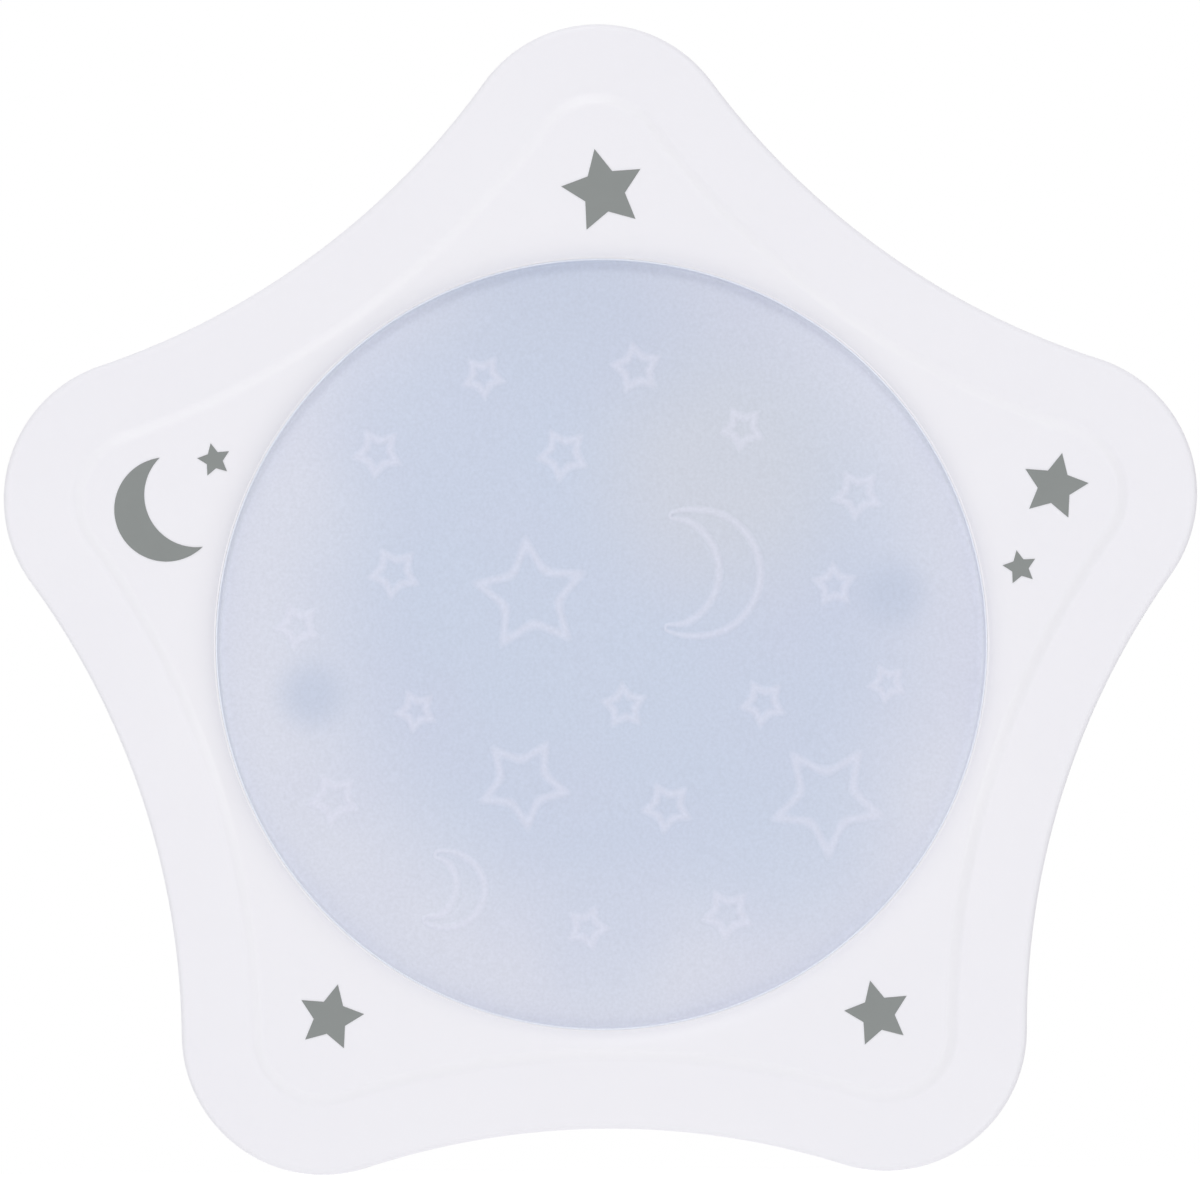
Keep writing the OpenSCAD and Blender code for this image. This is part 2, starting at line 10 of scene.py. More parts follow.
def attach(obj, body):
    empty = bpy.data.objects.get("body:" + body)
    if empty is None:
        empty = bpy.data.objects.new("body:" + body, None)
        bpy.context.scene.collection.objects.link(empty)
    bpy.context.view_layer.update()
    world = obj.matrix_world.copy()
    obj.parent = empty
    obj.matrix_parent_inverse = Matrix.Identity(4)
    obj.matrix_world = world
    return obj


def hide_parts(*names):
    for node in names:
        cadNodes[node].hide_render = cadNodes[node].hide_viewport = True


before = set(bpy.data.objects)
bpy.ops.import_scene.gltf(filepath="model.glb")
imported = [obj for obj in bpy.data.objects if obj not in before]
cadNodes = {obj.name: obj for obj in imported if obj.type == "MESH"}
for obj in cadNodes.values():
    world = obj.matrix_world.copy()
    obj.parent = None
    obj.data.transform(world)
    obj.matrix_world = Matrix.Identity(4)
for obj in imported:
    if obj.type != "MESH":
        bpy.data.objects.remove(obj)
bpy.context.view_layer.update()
scene = bpy.context.scene


# small tools for points, grids and meshes

def ray(angle):  # unit vector at an angle, for whole arrays
    return np.stack((np.cos(angle), np.sin(angle)), axis=-1)


def smooth(t):  # eases from 0 to 1 with level ends: 3 t squared - 2 t cubed
    t = np.clip(t, 0.0, 1.0)
    return t*t*(3 - 2*t)


def quarter(steps):  # angles of a quarter turn, both ends included
    return np.linspace(0, np.pi/2, steps + 1)


def fillet(radius, steps):  # a quarter round: its inset, from the radius to 0, and its rise, from 0
    arc = quarter(steps)
    return radius*(1 - np.sin(arc)), radius*(1 - np.cos(arc))


def gridQuads(rows, cols, loopRows=False, loopCols=True):
    # each cell of a rows x cols grid of points as four corners, anticlockwise
    r = np.arange(rows if loopRows else rows - 1)[:, None]
    c = np.arange(cols if loopCols else cols - 1)[None, :]
    r2, c2 = (r + 1) % rows, (c + 1) % cols
    corners = r*cols + c, r*cols + c2, r2*cols + c2, r2*cols + c
    return np.stack(corners, axis=-1).reshape(-1, 4)


def gridPart(points, loopRows=False, loopCols=True):  # a grid of points with the faces between them
    return points.reshape(-1, 3), gridQuads(*points.shape[:2], loopRows, loopCols)


def atDepth(flat, z):  # a flat loop or grid of points, lifted to depth z
    depth = np.broadcast_to(np.asarray(z, float), flat.shape[:-1])
    return np.concatenate((flat, depth[..., None]), axis=-1)


def loftRows(loop, normals, rows):
    # ring k = the loop moved inwards along its normals by rows[k][0], at depth rows[k][1]
    rows = np.asarray(rows, float)
    return atDepth(loop[None] + rows[:, 0, None, None]*normals[None], rows[:, 1, None])


def revolve(profile, centre=(0, 0), steps=64):
    # point = centre + radius*direction, with radius and depth read along the profile
    profile = np.asarray(profile, float)
    turn = ray(np.linspace(0, 2*np.pi, steps, endpoint=False))
    return atDepth(np.asarray(centre, float) + profile[:, 0, None, None]*turn[None], profile[:, 1, None])


def circle(centre, radius):  # one flat ring of revolve, so that both meet point to point
    return revolve([(radius, 0)], centre)[0, :, :2]


def roundedLoop(corners, radius, steps=6):
    # a convex loop with an arc at each corner: point = arc centre + radius*direction; normals point inwards
    corners = np.asarray(corners, float)
    along = np.roll(corners, -1, axis=0) - corners
    out = np.arctan2(-along[:, 0], along[:, 1])  # direction that each side faces
    before = np.roll(out, 1)
    bend = (out - before) % (2*np.pi)
    middle = corners - radius*ray(before + bend/2)/np.cos(bend/2)[:, None]
    turn = before[:, None] + bend[:, None]*np.linspace(0, 1, steps)
    return (middle[:, None] + radius*ray(turn)).reshape(-1, 2), -ray(turn).reshape(-1, 2)


def flatFace(loops, z, facing):
    # a flat face at depth z, inside the first loop and outside the others; facing is 1 to the front and
    # -1 to the back
    triangles = np.array(tessellate_polygon([[Vector((x, y, 0)) for x, y in loop] for loop in loops]))
    points = np.concatenate(loops)
    a, b, c = (points[triangles[:, k]] for k in range(3))
    area = (b[:, 0] - a[:, 0])*(c[:, 1] - a[:, 1]) - (b[:, 1] - a[:, 1])*(c[:, 0] - a[:, 0])
    wrong = area*facing < 0
    triangles[wrong] = triangles[wrong][:, ::-1]
    return atDepth(points, z), triangles


def makePiece(name, parts, material, body="housing", replaced=(), crease=35, weld=1e-7, marks=()):
    # parts are (points in mm, faces); they become one welded mesh, smooth up to the crease angle. Marks
    # are (name, a number for each point), kept on the mesh for its material
    starts = np.cumsum([0] + [len(p) for p, f in parts])
    points = np.concatenate([p for p, f in parts])
    faces = [face for (p, f), start in zip(parts, starts) for face in (np.asarray(f) + start).tolist()]
    upright = np.column_stack((points[:, 0], -points[:, 2], points[:, 1]))/1000
    mesh = bpy.data.meshes.new(name)
    mesh.from_pydata(upright.tolist(), [], faces)
    for title, values in marks:
        mesh.attributes.new(title, "FLOAT", "POINT").data.foreach_set("value", values)
    work = bmesh.new()
    work.from_mesh(mesh)
    bmesh.ops.remove_doubles(work, verts=work.verts, dist=weld)
    work.to_mesh(mesh)
    work.free()
    mesh.shade_smooth()
    mesh.set_sharp_from_angle(angle=np.radians(crease))
    mesh.materials.append(material)
    piece = bpy.data.objects.new(name, mesh)
    scene.collection.objects.link(piece)
    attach(piece, body)
    if replaced:
        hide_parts(*replaced)


# sizes and heights where two pieces meet

fits = dict(backZ=16.0, wall=2.0, roofZ=36.0, wellTop=21.2, housingBoreR=1.5, smallBoreR=1.15, pinBoreR=1.45,
            slotZ=(20.8, 24.8), slotHalf=4.05, chamfer=0.2, lensGap=0.01, postReach=24.5, postAngle=9.5)
floorZ = fits["backZ"] + fits["wall"]
slotEdge = fits["slotHalf"] + fits["chamfer"]
postSpots = [fits["postReach"]*ray(np.radians(fits["postAngle"] + turn)) for turn in (0, 180)]


# small tools for materials

def tone(red, green, blue):  # a colour as read on screen, 0 to 255, as a linear colour
    c = np.array((red, green, blue))/255
    return (*np.where(c <= 0.04045, c/12.92, ((c + 0.055)/1.055)**2.4), 1.0)


def addNode(tree, kind, **settings):
    node = tree.nodes.new(kind)
    for key, value in settings.items():
        setattr(node, key, value)
    return node


def feed(tree, target, source):  # a node's input takes another node's output or a plain value
    if isinstance(source, bpy.types.NodeSocket):
        tree.links.new(source, target)
    else:
        target.default_value = source


def maths(tree, operation, *values, clamp=False):
    node = addNode(tree, "ShaderNodeMath", operation=operation, use_clamp=clamp)
    for target, value in zip(node.inputs, values):
        feed(tree, target, value)
    return node.outputs[0]


def mixColour(tree, factor, a, b):
    node = addNode(tree, "ShaderNodeMix", data_type="RGBA")
    for name, value in (("Factor_Float", factor), ("A_Color", a), ("B_Color", b)):
        feed(tree, next(s for s in node.inputs if s.identifier == name), value)
    return next(s for s in node.outputs if s.identifier == "Result_Color")


def noise(tree, vector, scale, detail=2.0):
    node = addNode(tree, "ShaderNodeTexNoise")
    feed(tree, node.inputs["Vector"], vector)
    feed(tree, node.inputs["Scale"], scale)
    node.inputs["Detail"].default_value = detail
    return node.outputs["Fac"]


def swing(tree, value, amount):  # a noise value about its middle, scaled: (value - 0.5)*amount
    return maths(tree, "MULTIPLY", maths(tree, "SUBTRACT", value, 0.5), amount)


def newGroup(name, inputs):
    # a node group that takes these (name, kind, value) inputs and gives a colour, a roughness and a height
    tree = bpy.data.node_groups.new(name, "ShaderNodeTree")
    for title, kind, value in inputs:
        socket = tree.interface.new_socket(name=title, in_out="INPUT", socket_type="NodeSocket" + kind)
        if value is not None:
            socket.default_value = value
    for title, kind in (("Color", "Color"), ("Roughness", "Float"), ("Height", "Float")):
        tree.interface.new_socket(name=title, in_out="OUTPUT", socket_type="NodeSocket" + kind)
    start, end = addNode(tree, "NodeGroupInput"), addNode(tree, "NodeGroupOutput")
    return tree, start.outputs, end.inputs


def newMaterial(name, group, values, bump=0.1, depth=0.00005, ridden=None, **plain):
    # a Principled shader whose colour, roughness and bump come from a group. Ridden values follow a mark
    # on the mesh's points, and plain values stay on the shader's own sockets
    material = bpy.data.materials.new(name)
    material.use_nodes = True
    tree = material.node_tree
    shader = tree.nodes["Principled BSDF"]
    where = addNode(tree, "ShaderNodeTexCoord")
    look = addNode(tree, "ShaderNodeGroup", node_tree=group)
    tree.links.new(where.outputs["Object"], look.inputs["Vector"])
    for title, value in values.items():
        feed(tree, look.inputs[title], value)
    for title, mark in (ridden or {}).items():
        number = addNode(tree, "ShaderNodeAttribute", attribute_name=mark).outputs["Fac"]
        feed(tree, look.inputs[title], maths(tree, "MULTIPLY", number, values[title]))
    tree.links.new(look.outputs["Color"], shader.inputs["Base Color"])
    tree.links.new(look.outputs["Roughness"], shader.inputs["Roughness"])
    relief = addNode(tree, "ShaderNodeBump")
    relief.inputs["Strength"].default_value = bump
    relief.inputs["Distance"].default_value = depth
    tree.links.new(look.outputs["Height"], relief.inputs["Height"])
    tree.links.new(relief.outputs["Normal"], shader.inputs["Normal"])
    for title, value in plain.items():
        shader.inputs[title].default_value = value
    return material


# moulded plastic: a fine grain in the roughness and bump, and slow clouds in the colour

def mouldedGrain():
    tree, given, put = newGroup("mouldedGrain", [
        ("Vector", "Vector", None), ("Color", "Color", (0.8, 0.8, 0.8, 1)),
        ("Cloud", "Color", (0.7, 0.7, 0.7, 1)), ("Cloud Scale", "Float", 60.0),
        ("Grain Scale", "Float", 2500.0), ("Rough", "Float", 0.45), ("Rough Spread", "Float", 0.12),
        ("Lift", "Color", (1, 1, 1, 1)), ("Lift Amount", "Float", 0.0)])
    cloud = noise(tree, given["Vector"], given["Cloud Scale"], 3.0)
    grain = noise(tree, given["Vector"], given["Grain Scale"])
    base = mixColour(tree, cloud, given["Color"], given["Cloud"])
    feed(tree, put["Color"], mixColour(tree, given["Lift Amount"], base, given["Lift"]))
    spread = swing(tree, grain, given["Rough Spread"])
    feed(tree, put["Roughness"], maths(tree, "ADD", given["Rough"], spread))
    feed(tree, put["Height"], grain)
    return tree


# drawn or turned metal: streaks along Y, the pins' direction, with a thin tarnish in patches

drawn = dict(stretch=(1.0, 0.06, 1.0), patchScale=220.0, patchShare=0.6)


def drawnMetal():
    tree, given, put = newGroup("drawnMetal", [
        ("Vector", "Vector", None), ("Color", "Color", (0.7, 0.7, 0.7, 1)),
        ("Tarnish", "Color", (0.5, 0.5, 0.5, 1)), ("Streak Scale", "Float", 1800.0),
        ("Rough", "Float", 0.28), ("Rough Spread", "Float", 0.2)])
    stretch = addNode(tree, "ShaderNodeVectorMath", operation="MULTIPLY")
    feed(tree, stretch.inputs[0], given["Vector"])
    stretch.inputs[1].default_value = drawn["stretch"]
    streak = noise(tree, stretch.outputs[0], given["Streak Scale"], 3.0)
    patch = noise(tree, given["Vector"], drawn["patchScale"], 3.0)
    tarnished = maths(tree, "MULTIPLY", patch, drawn["patchShare"])
    feed(tree, put["Color"], mixColour(tree, tarnished, given["Color"], given["Tarnish"]))
    spread = swing(tree, streak, given["Rough Spread"])
    feed(tree, put["Roughness"], maths(tree, "ADD", given["Rough"], spread))
    feed(tree, put["Height"], streak)
    return tree


# frosted lens: bluer in the middle, paler towards the rim, with soft clouds, a painted shade below the
# bezel's upper edge, the two posts' painted shadows, painted light at the rim's two sides, a painted
# highlight line where the rim meets the bezel and a fine speckle. Places and radii are in m; spots are
# (place, full and end radius, share)

frost = dict(
    middle=tone(198, 207, 226), rim=tone(214, 217, 230), lilac=tone(202, 205, 225),
    grey=tone(205, 209, 220), shadow=tone(191, 200, 220), shade=tone(188, 195, 214),
    # edge is the colour of the rim's painted light at its sides and of its painted highlight line
    edge=tone(236, 240, 250), core=(0.0018, 0.002), coreR=(0.017, 0.0315),
    blueSpots=(((-0.003, 0.025), (0.004, 0.015), 0.8), ((-0.0145, 0.0185), (0.003, 0.012), 0.7),
               ((0.016, -0.017), (0.002, 0.012), 0.6), ((0.0, -0.0255), (0.002, 0.008), 0.35)),
    greySpot=((0.0105, 0.0145), (0.003, 0.0155), 0.8), topShade=((0.0, 0.045), (0.015, 0.03), 0.32),
    # radii and shares of the rim's painted light at its sides and of its painted highlight line
    postR=(0.0006, 0.0042), postShare=0.75, edgeR=(0.0312, 0.032), paintedSideLightShare=0.35,
    highlightLineR=(0.032, 0.03208), highlightLineShare=0.85, cloudScale=70.0, cloudStart=0.42, cloudGain=3.0, cloudShare=0.35,
    speckleScale=3600.0, speckle=0.085)


def spotMask(tree, vector, place, fullR, endR):
    # 1 within fullR of a place on the face, easing to 0 at endR: the distance is taken across X and Z only
    flat = addNode(tree, "ShaderNodeVectorMath", operation="MULTIPLY")
    feed(tree, flat.inputs[0], vector)
    flat.inputs[1].default_value = (1.0, 0.0, 1.0)
    away = addNode(tree, "ShaderNodeVectorMath", operation="DISTANCE")
    tree.links.new(flat.outputs[0], away.inputs[0])
    away.inputs[1].default_value = (place[0], 0.0, place[1])
    ease = addNode(tree, "ShaderNodeMapRange", interpolation_type="SMOOTHSTEP")
    tree.links.new(away.outputs["Value"], ease.inputs["Value"])
    for title, value in (("From Min", fullR), ("From Max", endR), ("To Min", 1.0), ("To Max", 0.0)):
        ease.inputs[title].default_value = value
    return ease.outputs["Result"]


def tinted(tree, colour, vector, tint, place, reach, share):
    # the colour with a share of a tint round a place, out to its reach
    spot = spotMask(tree, vector, place, *reach)
    return mixColour(tree, maths(tree, "MULTIPLY", spot, share), colour, tint)


def frostedTint():
    tree, given, put = newGroup("frostedTint", [
        ("Vector", "Vector", None), ("Lift", "Color", (1, 1, 1, 1)), ("Lift Amount", "Float", 0.0),
        ("Rough", "Float", 0.5), ("Rough Spread", "Float", 0.1)])
    vector = given["Vector"]

    def rimMask(reach):  # 0 within the first radius from the middle, easing to 1 at the second
        return maths(tree, "SUBTRACT", 1.0, spotMask(tree, vector, (0.0, 0.0), *reach))

    colour = tinted(tree, frost["rim"], vector, frost["middle"], frost["core"], frost["coreR"], 1.0)
    for spot in frost["blueSpots"]:
        colour = tinted(tree, colour, vector, frost["middle"], *spot)
    cloud = maths(tree, "SUBTRACT", noise(tree, vector, frost["cloudScale"]), frost["cloudStart"])
    patch = maths(tree, "MULTIPLY", cloud, frost["cloudGain"], clamp=True)
    colour = mixColour(tree, maths(tree, "MULTIPLY", patch, frost["cloudShare"]), colour, frost["lilac"])
    colour = tinted(tree, colour, vector, frost["grey"], *frost["greySpot"])
    colour = tinted(tree, colour, vector, frost["shade"], *frost["topShade"])
    for spot in postSpots:
        colour = tinted(tree, colour, vector, frost["shadow"], spot/1000, frost["postR"], frost["postShare"])
    # painted light: the rim is painted lighter at its two sides, not at the top and bottom, and has a painted
    # highlight line where it meets the bezel
    across = addNode(tree, "ShaderNodeSeparateXYZ")
    feed(tree, across.inputs[0], vector)
    sides = maths(tree, "POWER", maths(tree, "DIVIDE", across.outputs["X"], frost["edgeR"][1]), 2.0)
    sides = maths(tree, "MULTIPLY", sides, frost["paintedSideLightShare"])
    glow = maths(tree, "MULTIPLY", rimMask(frost["edgeR"]), sides)
    colour = mixColour(tree, glow, colour, frost["edge"])
    line = maths(tree, "MULTIPLY", rimMask(frost["highlightLineR"]), frost["highlightLineShare"])
    colour = mixColour(tree, line, colour, frost["edge"])
    colour = mixColour(tree, given["Lift Amount"], colour, given["Lift"])
    speckle = noise(tree, vector, frost["speckleScale"])
    scaled = addNode(tree, "ShaderNodeVectorMath", operation="SCALE")
    feed(tree, scaled.inputs[0], colour)
    feed(tree, scaled.inputs["Scale"], maths(tree, "ADD", 1.0, swing(tree, speckle, 2*frost["speckle"])))
    feed(tree, put["Color"], scaled.outputs[0])
    spread = swing(tree, speckle, given["Rough Spread"])
    feed(tree, put["Roughness"], maths(tree, "ADD", given["Rough"], spread))
    feed(tree, put["Height"], speckle)
    return tree


grainGroup, metalGroup, frostGroup = mouldedGrain(), drawnMetal(), frostedTint()


def plastic(name, colour, cloud, rough=0.45, bump=0.08, cloudScale=60.0, lift=None):
    # lift is (colour, amount, name of the mark that it follows)
    values = {"Color": colour, "Cloud": cloud, "Rough": rough, "Cloud Scale": cloudScale}
    if lift:
        values.update({"Lift": lift[0], "Lift Amount": lift[1]})
    return newMaterial(name, grainGroup, values, bump, ridden=lift and {"Lift Amount": lift[2]})


def frosted(name, rough=0.5, bump=0.12, depth=0.00004, lift=None):
    values = {"Rough": rough}
    if lift:
        values.update({"Lift": lift[0], "Lift Amount": lift[1]})
    return newMaterial(name, frostGroup, values, bump, depth, lift and {"Lift Amount": lift[2]})


def metal(name, colour, tarnish, rough=0.28, streak=1800.0, bump=0.05):
    values = {"Color": colour, "Tarnish": tarnish, "Rough": rough, "Streak Scale": streak}
    return newMaterial(name, metalGroup, values, bump, Metallic=1.0)


shellTones = tone(239, 238, 243), tone(236, 235, 241)
shellWhite = plastic("shellWhite", *shellTones, rough=0.42, bump=0.06)
# the bezel's lift is a painted highlight along the crest of the plateau's step
bezelWhite = plastic("bezelWhite", *shellTones, rough=0.42, bump=0.06,
                     lift=(tone(250, 250, 252), 0.2, "crestHighlight"))
plugWhite = plastic("plugWhite", tone(236, 236, 239), tone(231, 231, 235), rough=0.5, bump=0.1)
knobWhite = plastic("knobWhite", tone(232, 232, 236), tone(226, 226, 231), rough=0.4, bump=0.06)
sleeveBlack = plastic("sleeveBlack", tone(38, 38, 41), tone(52, 52, 55), rough=0.55, bump=0.12,
                      cloudScale=300.0)
printGrey = plastic("printGrey", tone(133, 137, 136), tone(137, 141, 140), rough=0.6, bump=0.05,
                    cloudScale=400.0)
lensFrost = frosted("lensFrost")
reliefFrost = frosted("reliefFrost", lift=(tone(224, 225, 241), 0.42, "crown"))
pinMetal = metal("pinMetal", (0.68, 0.64, 0.57, 1), (0.52, 0.47, 0.38, 1), rough=0.22)
screwSteel = metal("screwSteel", (0.62, 0.63, 0.65, 1), (0.48, 0.48, 0.47, 1), rough=0.34, streak=2600.0)
print("materials: outside finishes made")


# star outline: five rounded tips and five hollow flanks, as tangent arcs

star = dict(arms=5, openingR=32.2, plateauW=1.4, stepIn=6.2, stepW=1.2, tipR=11.75, flankR=65.0,
            tipSteps=40, flankSteps=14, slotSteps=8, rearInset=2.4)


def starOutline():
    # tip point = arm's end + tip radius*direction; flank point = flank's centre + flank radius*direction.
    # The flanks are cut at the switch slot's sides, so that every ring has points there; normals point in
    half = np.pi/star["arms"]
    waist = star["openingR"] + star["plateauW"] + star["stepW"]/2 + star["stepIn"]
    flankC = waist + star["flankR"]
    reach = flankC*np.cos(half) - np.sqrt((star["tipR"] + star["flankR"])**2 - (flankC*np.sin(half))**2)
    tipHalf = np.arctan2(flankC*np.sin(half), flankC*np.cos(half) - reach)
    flankHalf = np.arctan2(reach*np.sin(half), flankC - reach*np.cos(half))
    slot = np.arcsin(slotEdge/(star["flankR"] + star["rearInset"]))
    arm = np.pi/2 + 2*half*np.arange(star["arms"])[:, None]
    tipTurn = arm + tipHalf*np.linspace(-1, 1, star["tipSteps"], endpoint=False)
    sway = np.concatenate((np.linspace(flankHalf, slot, star["flankSteps"], endpoint=False),
                           np.linspace(slot, -slot, star["slotSteps"], endpoint=False),
                           np.linspace(-slot, -flankHalf, star["flankSteps"], endpoint=False)))
    flankTurn = arm + half + np.pi + sway
    tips = reach*ray(arm) + star["tipR"]*ray(tipTurn)
    flanks = flankC*ray(arm + half) + star["flankR"]*ray(flankTurn)
    loop = np.concatenate((tips, flanks), axis=1).reshape(-1, 2)
    normals = np.concatenate((-ray(tipTurn), ray(flankTurn)), axis=1).reshape(-1, 2)
    return loop, normals, (reach*ray(arm)).reshape(-1, 2)


starLoop, starNormals, armEnds = starOutline()
housingArms, reflectorArms = (0, 2, 3), (1, 4)


# front shell: rings from the seam over the rounded edge and the plateau's step, down into the lens opening
# and back inside, with bosses for the screws

bezel = dict(seamZ=27.0, frontZ=38.0, foot=0.25, footMid=0.07, wallMid=30.0, edgeR=0.5, hold=0.3,
             faceMid=3.5, stepHold=0.25, plateauRise=0.46, rollRun=2.9, rollDrop=1.16, rollShare=0.86,
             rollStart=0.85, lipW=0.14, lipMid=0.55, lipEase=0.02, throatZ=36.6, roofEase=0.4, crestHighlightEnd=1.2,
             bossR=3.2, boreEnd=31.8, earBossR=2.85, earBossStart=31.1, earBoreEnd=36.2, sunk=0.5,
             edgeSteps=10, stepSteps=15, plateauSteps=18, rollSteps=12, bossSteps=40)
plateauZ = bezel["frontZ"] + bezel["plateauRise"]


def rollDrop(r):
    # how far the plateau falls towards the opening: part of a quarter ellipse that ends in a narrow level lip
    t = np.clip((r - star["openingR"] - bezel["lipW"])/bezel["rollRun"], 0, 1)
    share = bezel["rollShare"]
    return bezel["rollDrop"]*(1 - np.sqrt(1 - (1 - t)**2*share))/(1 - np.sqrt(1 - share))


def bezelParts():
    # height = front face + eased step of the plateau - roll-off towards the opening
    b, step = bezel, star["stepIn"] - star["stepW"]/2
    wall, roofZ = fits["wall"], fits["roofZ"]
    inset, rise = fillet(b["edgeR"], b["edgeSteps"])
    outer = [(b["foot"], b["seamZ"]), (b["footMid"], b["seamZ"] + b["footMid"]), (0, b["seamZ"] + b["foot"]),
             (0, b["wallMid"]), (0, b["frontZ"] - b["edgeR"] - b["hold"])]
    outer += list(zip(rise, b["frontZ"] - inset))
    outer += [(deep, b["frontZ"]) for deep in (b["edgeR"] + b["hold"], b["faceMid"], step - b["stepHold"])]
    wallRings = loftRows(starLoop, starNormals, outer)
    t = np.linspace(0, 1, b["stepSteps"])
    climb = np.column_stack((step + star["stepW"]*t, b["frontZ"] + b["plateauRise"]*smooth(t)))
    stepRings = loftRows(starLoop, starNormals, climb)
    ringR = star["openingR"] + b["lipW"] + b["rollStart"]
    outward = starLoop/np.linalg.norm(starLoop, axis=1)[:, None]
    blend = smooth(np.linspace(0, 1, b["plateauSteps"]))[1:, None, None]
    plateau = atDepth(stepRings[-1:, :, :2]*(1 - blend) + ringR*outward[None]*blend, plateauZ)
    lips = b["lipW"] + b["rollStart"]*(1 - np.sin(quarter(b["rollSteps"])))[1:]
    radii = star["openingR"] + np.append(lips, (b["lipW"]*b["lipMid"], b["lipEase"]))
    roll = atDepth(radii[:, None, None]*outward[None], plateauZ)
    top = np.concatenate((stepRings, plateau, roll))
    top[..., 2] -= rollDrop(np.hypot(top[..., 0], top[..., 1]))
    throat = np.array((top[-1, 0, 2] - b["lipEase"], b["throatZ"], roofZ))[:, None]
    opening = atDepth(star["openingR"]*outward[None].repeat(len(throat), axis=0), throat)
    inside = loftRows(starLoop, starNormals, [
        (wall + b["roofEase"], roofZ), (wall, roofZ - b["roofEase"]), (wall, b["seamZ"])])
    rings = np.concatenate((wallRings, top, opening, inside))
    # a painted highlight along the plateau's step
    crestHighlight = np.zeros(rings.shape[:2])  # lightest on the outer edge of the plateau
    onStep = slice(len(wallRings), len(wallRings) + len(stepRings))
    crestHighlight[onStep] = np.sin(np.pi*np.clip(t/b["crestHighlightEnd"], 0, 1))[:, None]**2
    parts = [gridPart(rings, loopRows=True)]
    ceiling = roofZ + b["sunk"]
    bosses = ((housingArms, fits["housingBoreR"], b["bossR"], fits["wellTop"], b["boreEnd"]),
              (reflectorArms, fits["smallBoreR"], b["earBossR"], b["earBossStart"], b["earBoreEnd"]))
    for arms, bore, boss, start, end in bosses:
        section = [(0, end), (bore, end), (bore, start), (boss, start), (boss, ceiling), (0, ceiling)]
        parts += [gridPart(revolve(section, armEnds[k], b["bossSteps"])) for k in arms]
    total = sum(len(points) for points, faces in parts)
    return parts, np.pad(crestHighlight.ravel(), (0, total - crestHighlight.size))


bezelMesh, bezelCrestHighlight = bezelParts()
makePiece("starBezel", bezelMesh, bezelWhite, replaced=("front_shell",), crease=50,
          marks=[("crestHighlight", bezelCrestHighlight)])
print("bezel: star shell made")


# lens: a shallow dome with a flange behind the bezel, and two posts

lens = dict(rimZ=36.5, dome=1.4, turnW=0.3, topW=0.1, topZ=37.29, thick=1.6, flangeR=34.0, flangeZ=34.5,
            flangeEase=0.15, hold=0.2, postR=2.75, postStart=28.8, boreEnd=34.6, faceSteps=40, turnSteps=6,
            backSteps=24, roundSteps=192, postSteps=40)
lensR = star["openingR"] - fits["lensGap"]


def domeZ(r):  # height of the lens's face: rim + dome*(1 - (r/R) squared)
    return lens["rimZ"] + lens["dome"]*(1 - (r/lensR)**2)


def lensParts():
    # a section turned about the lens's axis, from the middle of its back over the flange to the middle of its
    # face; at the rim the face turns up in a quarter ellipse to the bezel's lip
    v, backR, roofZ, bore = lens, lensR - lens["thick"], fits["roofZ"], fits["smallBoreR"]
    foot, arc = lensR - v["topW"] - v["turnW"], quarter(v["turnSteps"])[1:]
    dome = np.append(np.linspace(0, foot - v["hold"], v["faceSteps"]), foot)
    face = np.concatenate((dome, foot + v["turnW"]*np.sin(arc), [lensR]))
    turnUp = np.append(1 - np.cos(arc), 1)
    faceZ = np.append(domeZ(dome), domeZ(foot) + (v["topZ"] - domeZ(foot))*turnUp)
    back = np.linspace(0, backR, v["backSteps"])
    section = [*zip(back, domeZ(back) - v["thick"]), (backR, v["flangeZ"]), (v["flangeR"], v["flangeZ"]),
               (v["flangeR"], roofZ - v["flangeEase"]), (v["flangeR"] - v["flangeEase"], roofZ),
               (lensR, roofZ), *zip(face[::-1], faceZ[::-1])]
    top = domeZ(fits["postReach"]) - v["thick"]/2
    post = [(0, v["boreEnd"]), (bore, v["boreEnd"]), (bore, v["postStart"]), (v["postR"], v["postStart"]),
            (v["postR"], top), (0, top)]
    posts = [gridPart(revolve(post, spot, v["postSteps"])) for spot in postSpots]
    return [gridPart(revolve(section, steps=v["roundSteps"]))] + posts


makePiece("frostedLens", lensParts(), lensFrost, replaced=("lens",), crease=40)

# raised outlines on the lens: stars as (across, up, tip radius, turn from tip-up, notch) at the middle of
# their lines, moons as (outer centre, outer radius, inner centre, inner radius)
relief = dict(
    height=0.1, width=1.15, sink=0.25, under=0.01, rows=11, perEdge=12, ease=3, mostIn=0.75, arcSteps=60,
    fanSteps=9, mostAcross=0.46,
    stars=((-9.7, 22.4, 1.45, 40, 0.57), (-18.55, 16.1, 1.75, 28, 0.57), (-3.1, 15.85, 1.88, 27, 0.57),
           (-17.25, 6.1, 1.84, 28, 0.57), (-5.85, 4.1, 4.6, 5, 0.48), (-25.35, 1.7, 1.52, 25, 0.57),
           (3.1, 23.0, 1.8, 9, 0.57), (11.9, 17.9, 1.52, 28, 0.57), (21.45, 12.35, 1.76, 29, 0.56),
           (19.45, 4.8, 1.46, 3, 0.57), (-15.5, -5.45, 1.4, 25, 0.57), (-6.6, -11.5, 3.62, 41, 0.51),
           (-22.4, -12.75, 1.82, 28, 0.57), (-1.35, -23.65, 1.46, 50, 0.57), (1.85, -5.15, 1.55, 5, 0.57),
           (13.45, -5.0, 1.6, 28, 0.57), (23.85, -3.45, 1.3, 26, 0.57), (18.75, -13.1, 4.62, 37, 0.47),
           (5.4, -13.6, 1.79, 27, 0.57), (10.35, -22.6, 1.81, 30, 0.57)),
    moons=(((8.1, 5.9), 5.2, (5.1, 6.05), 4.75), ((-12.95, -20.4), 3.06, (-15.15, -20.0), 2.92)))


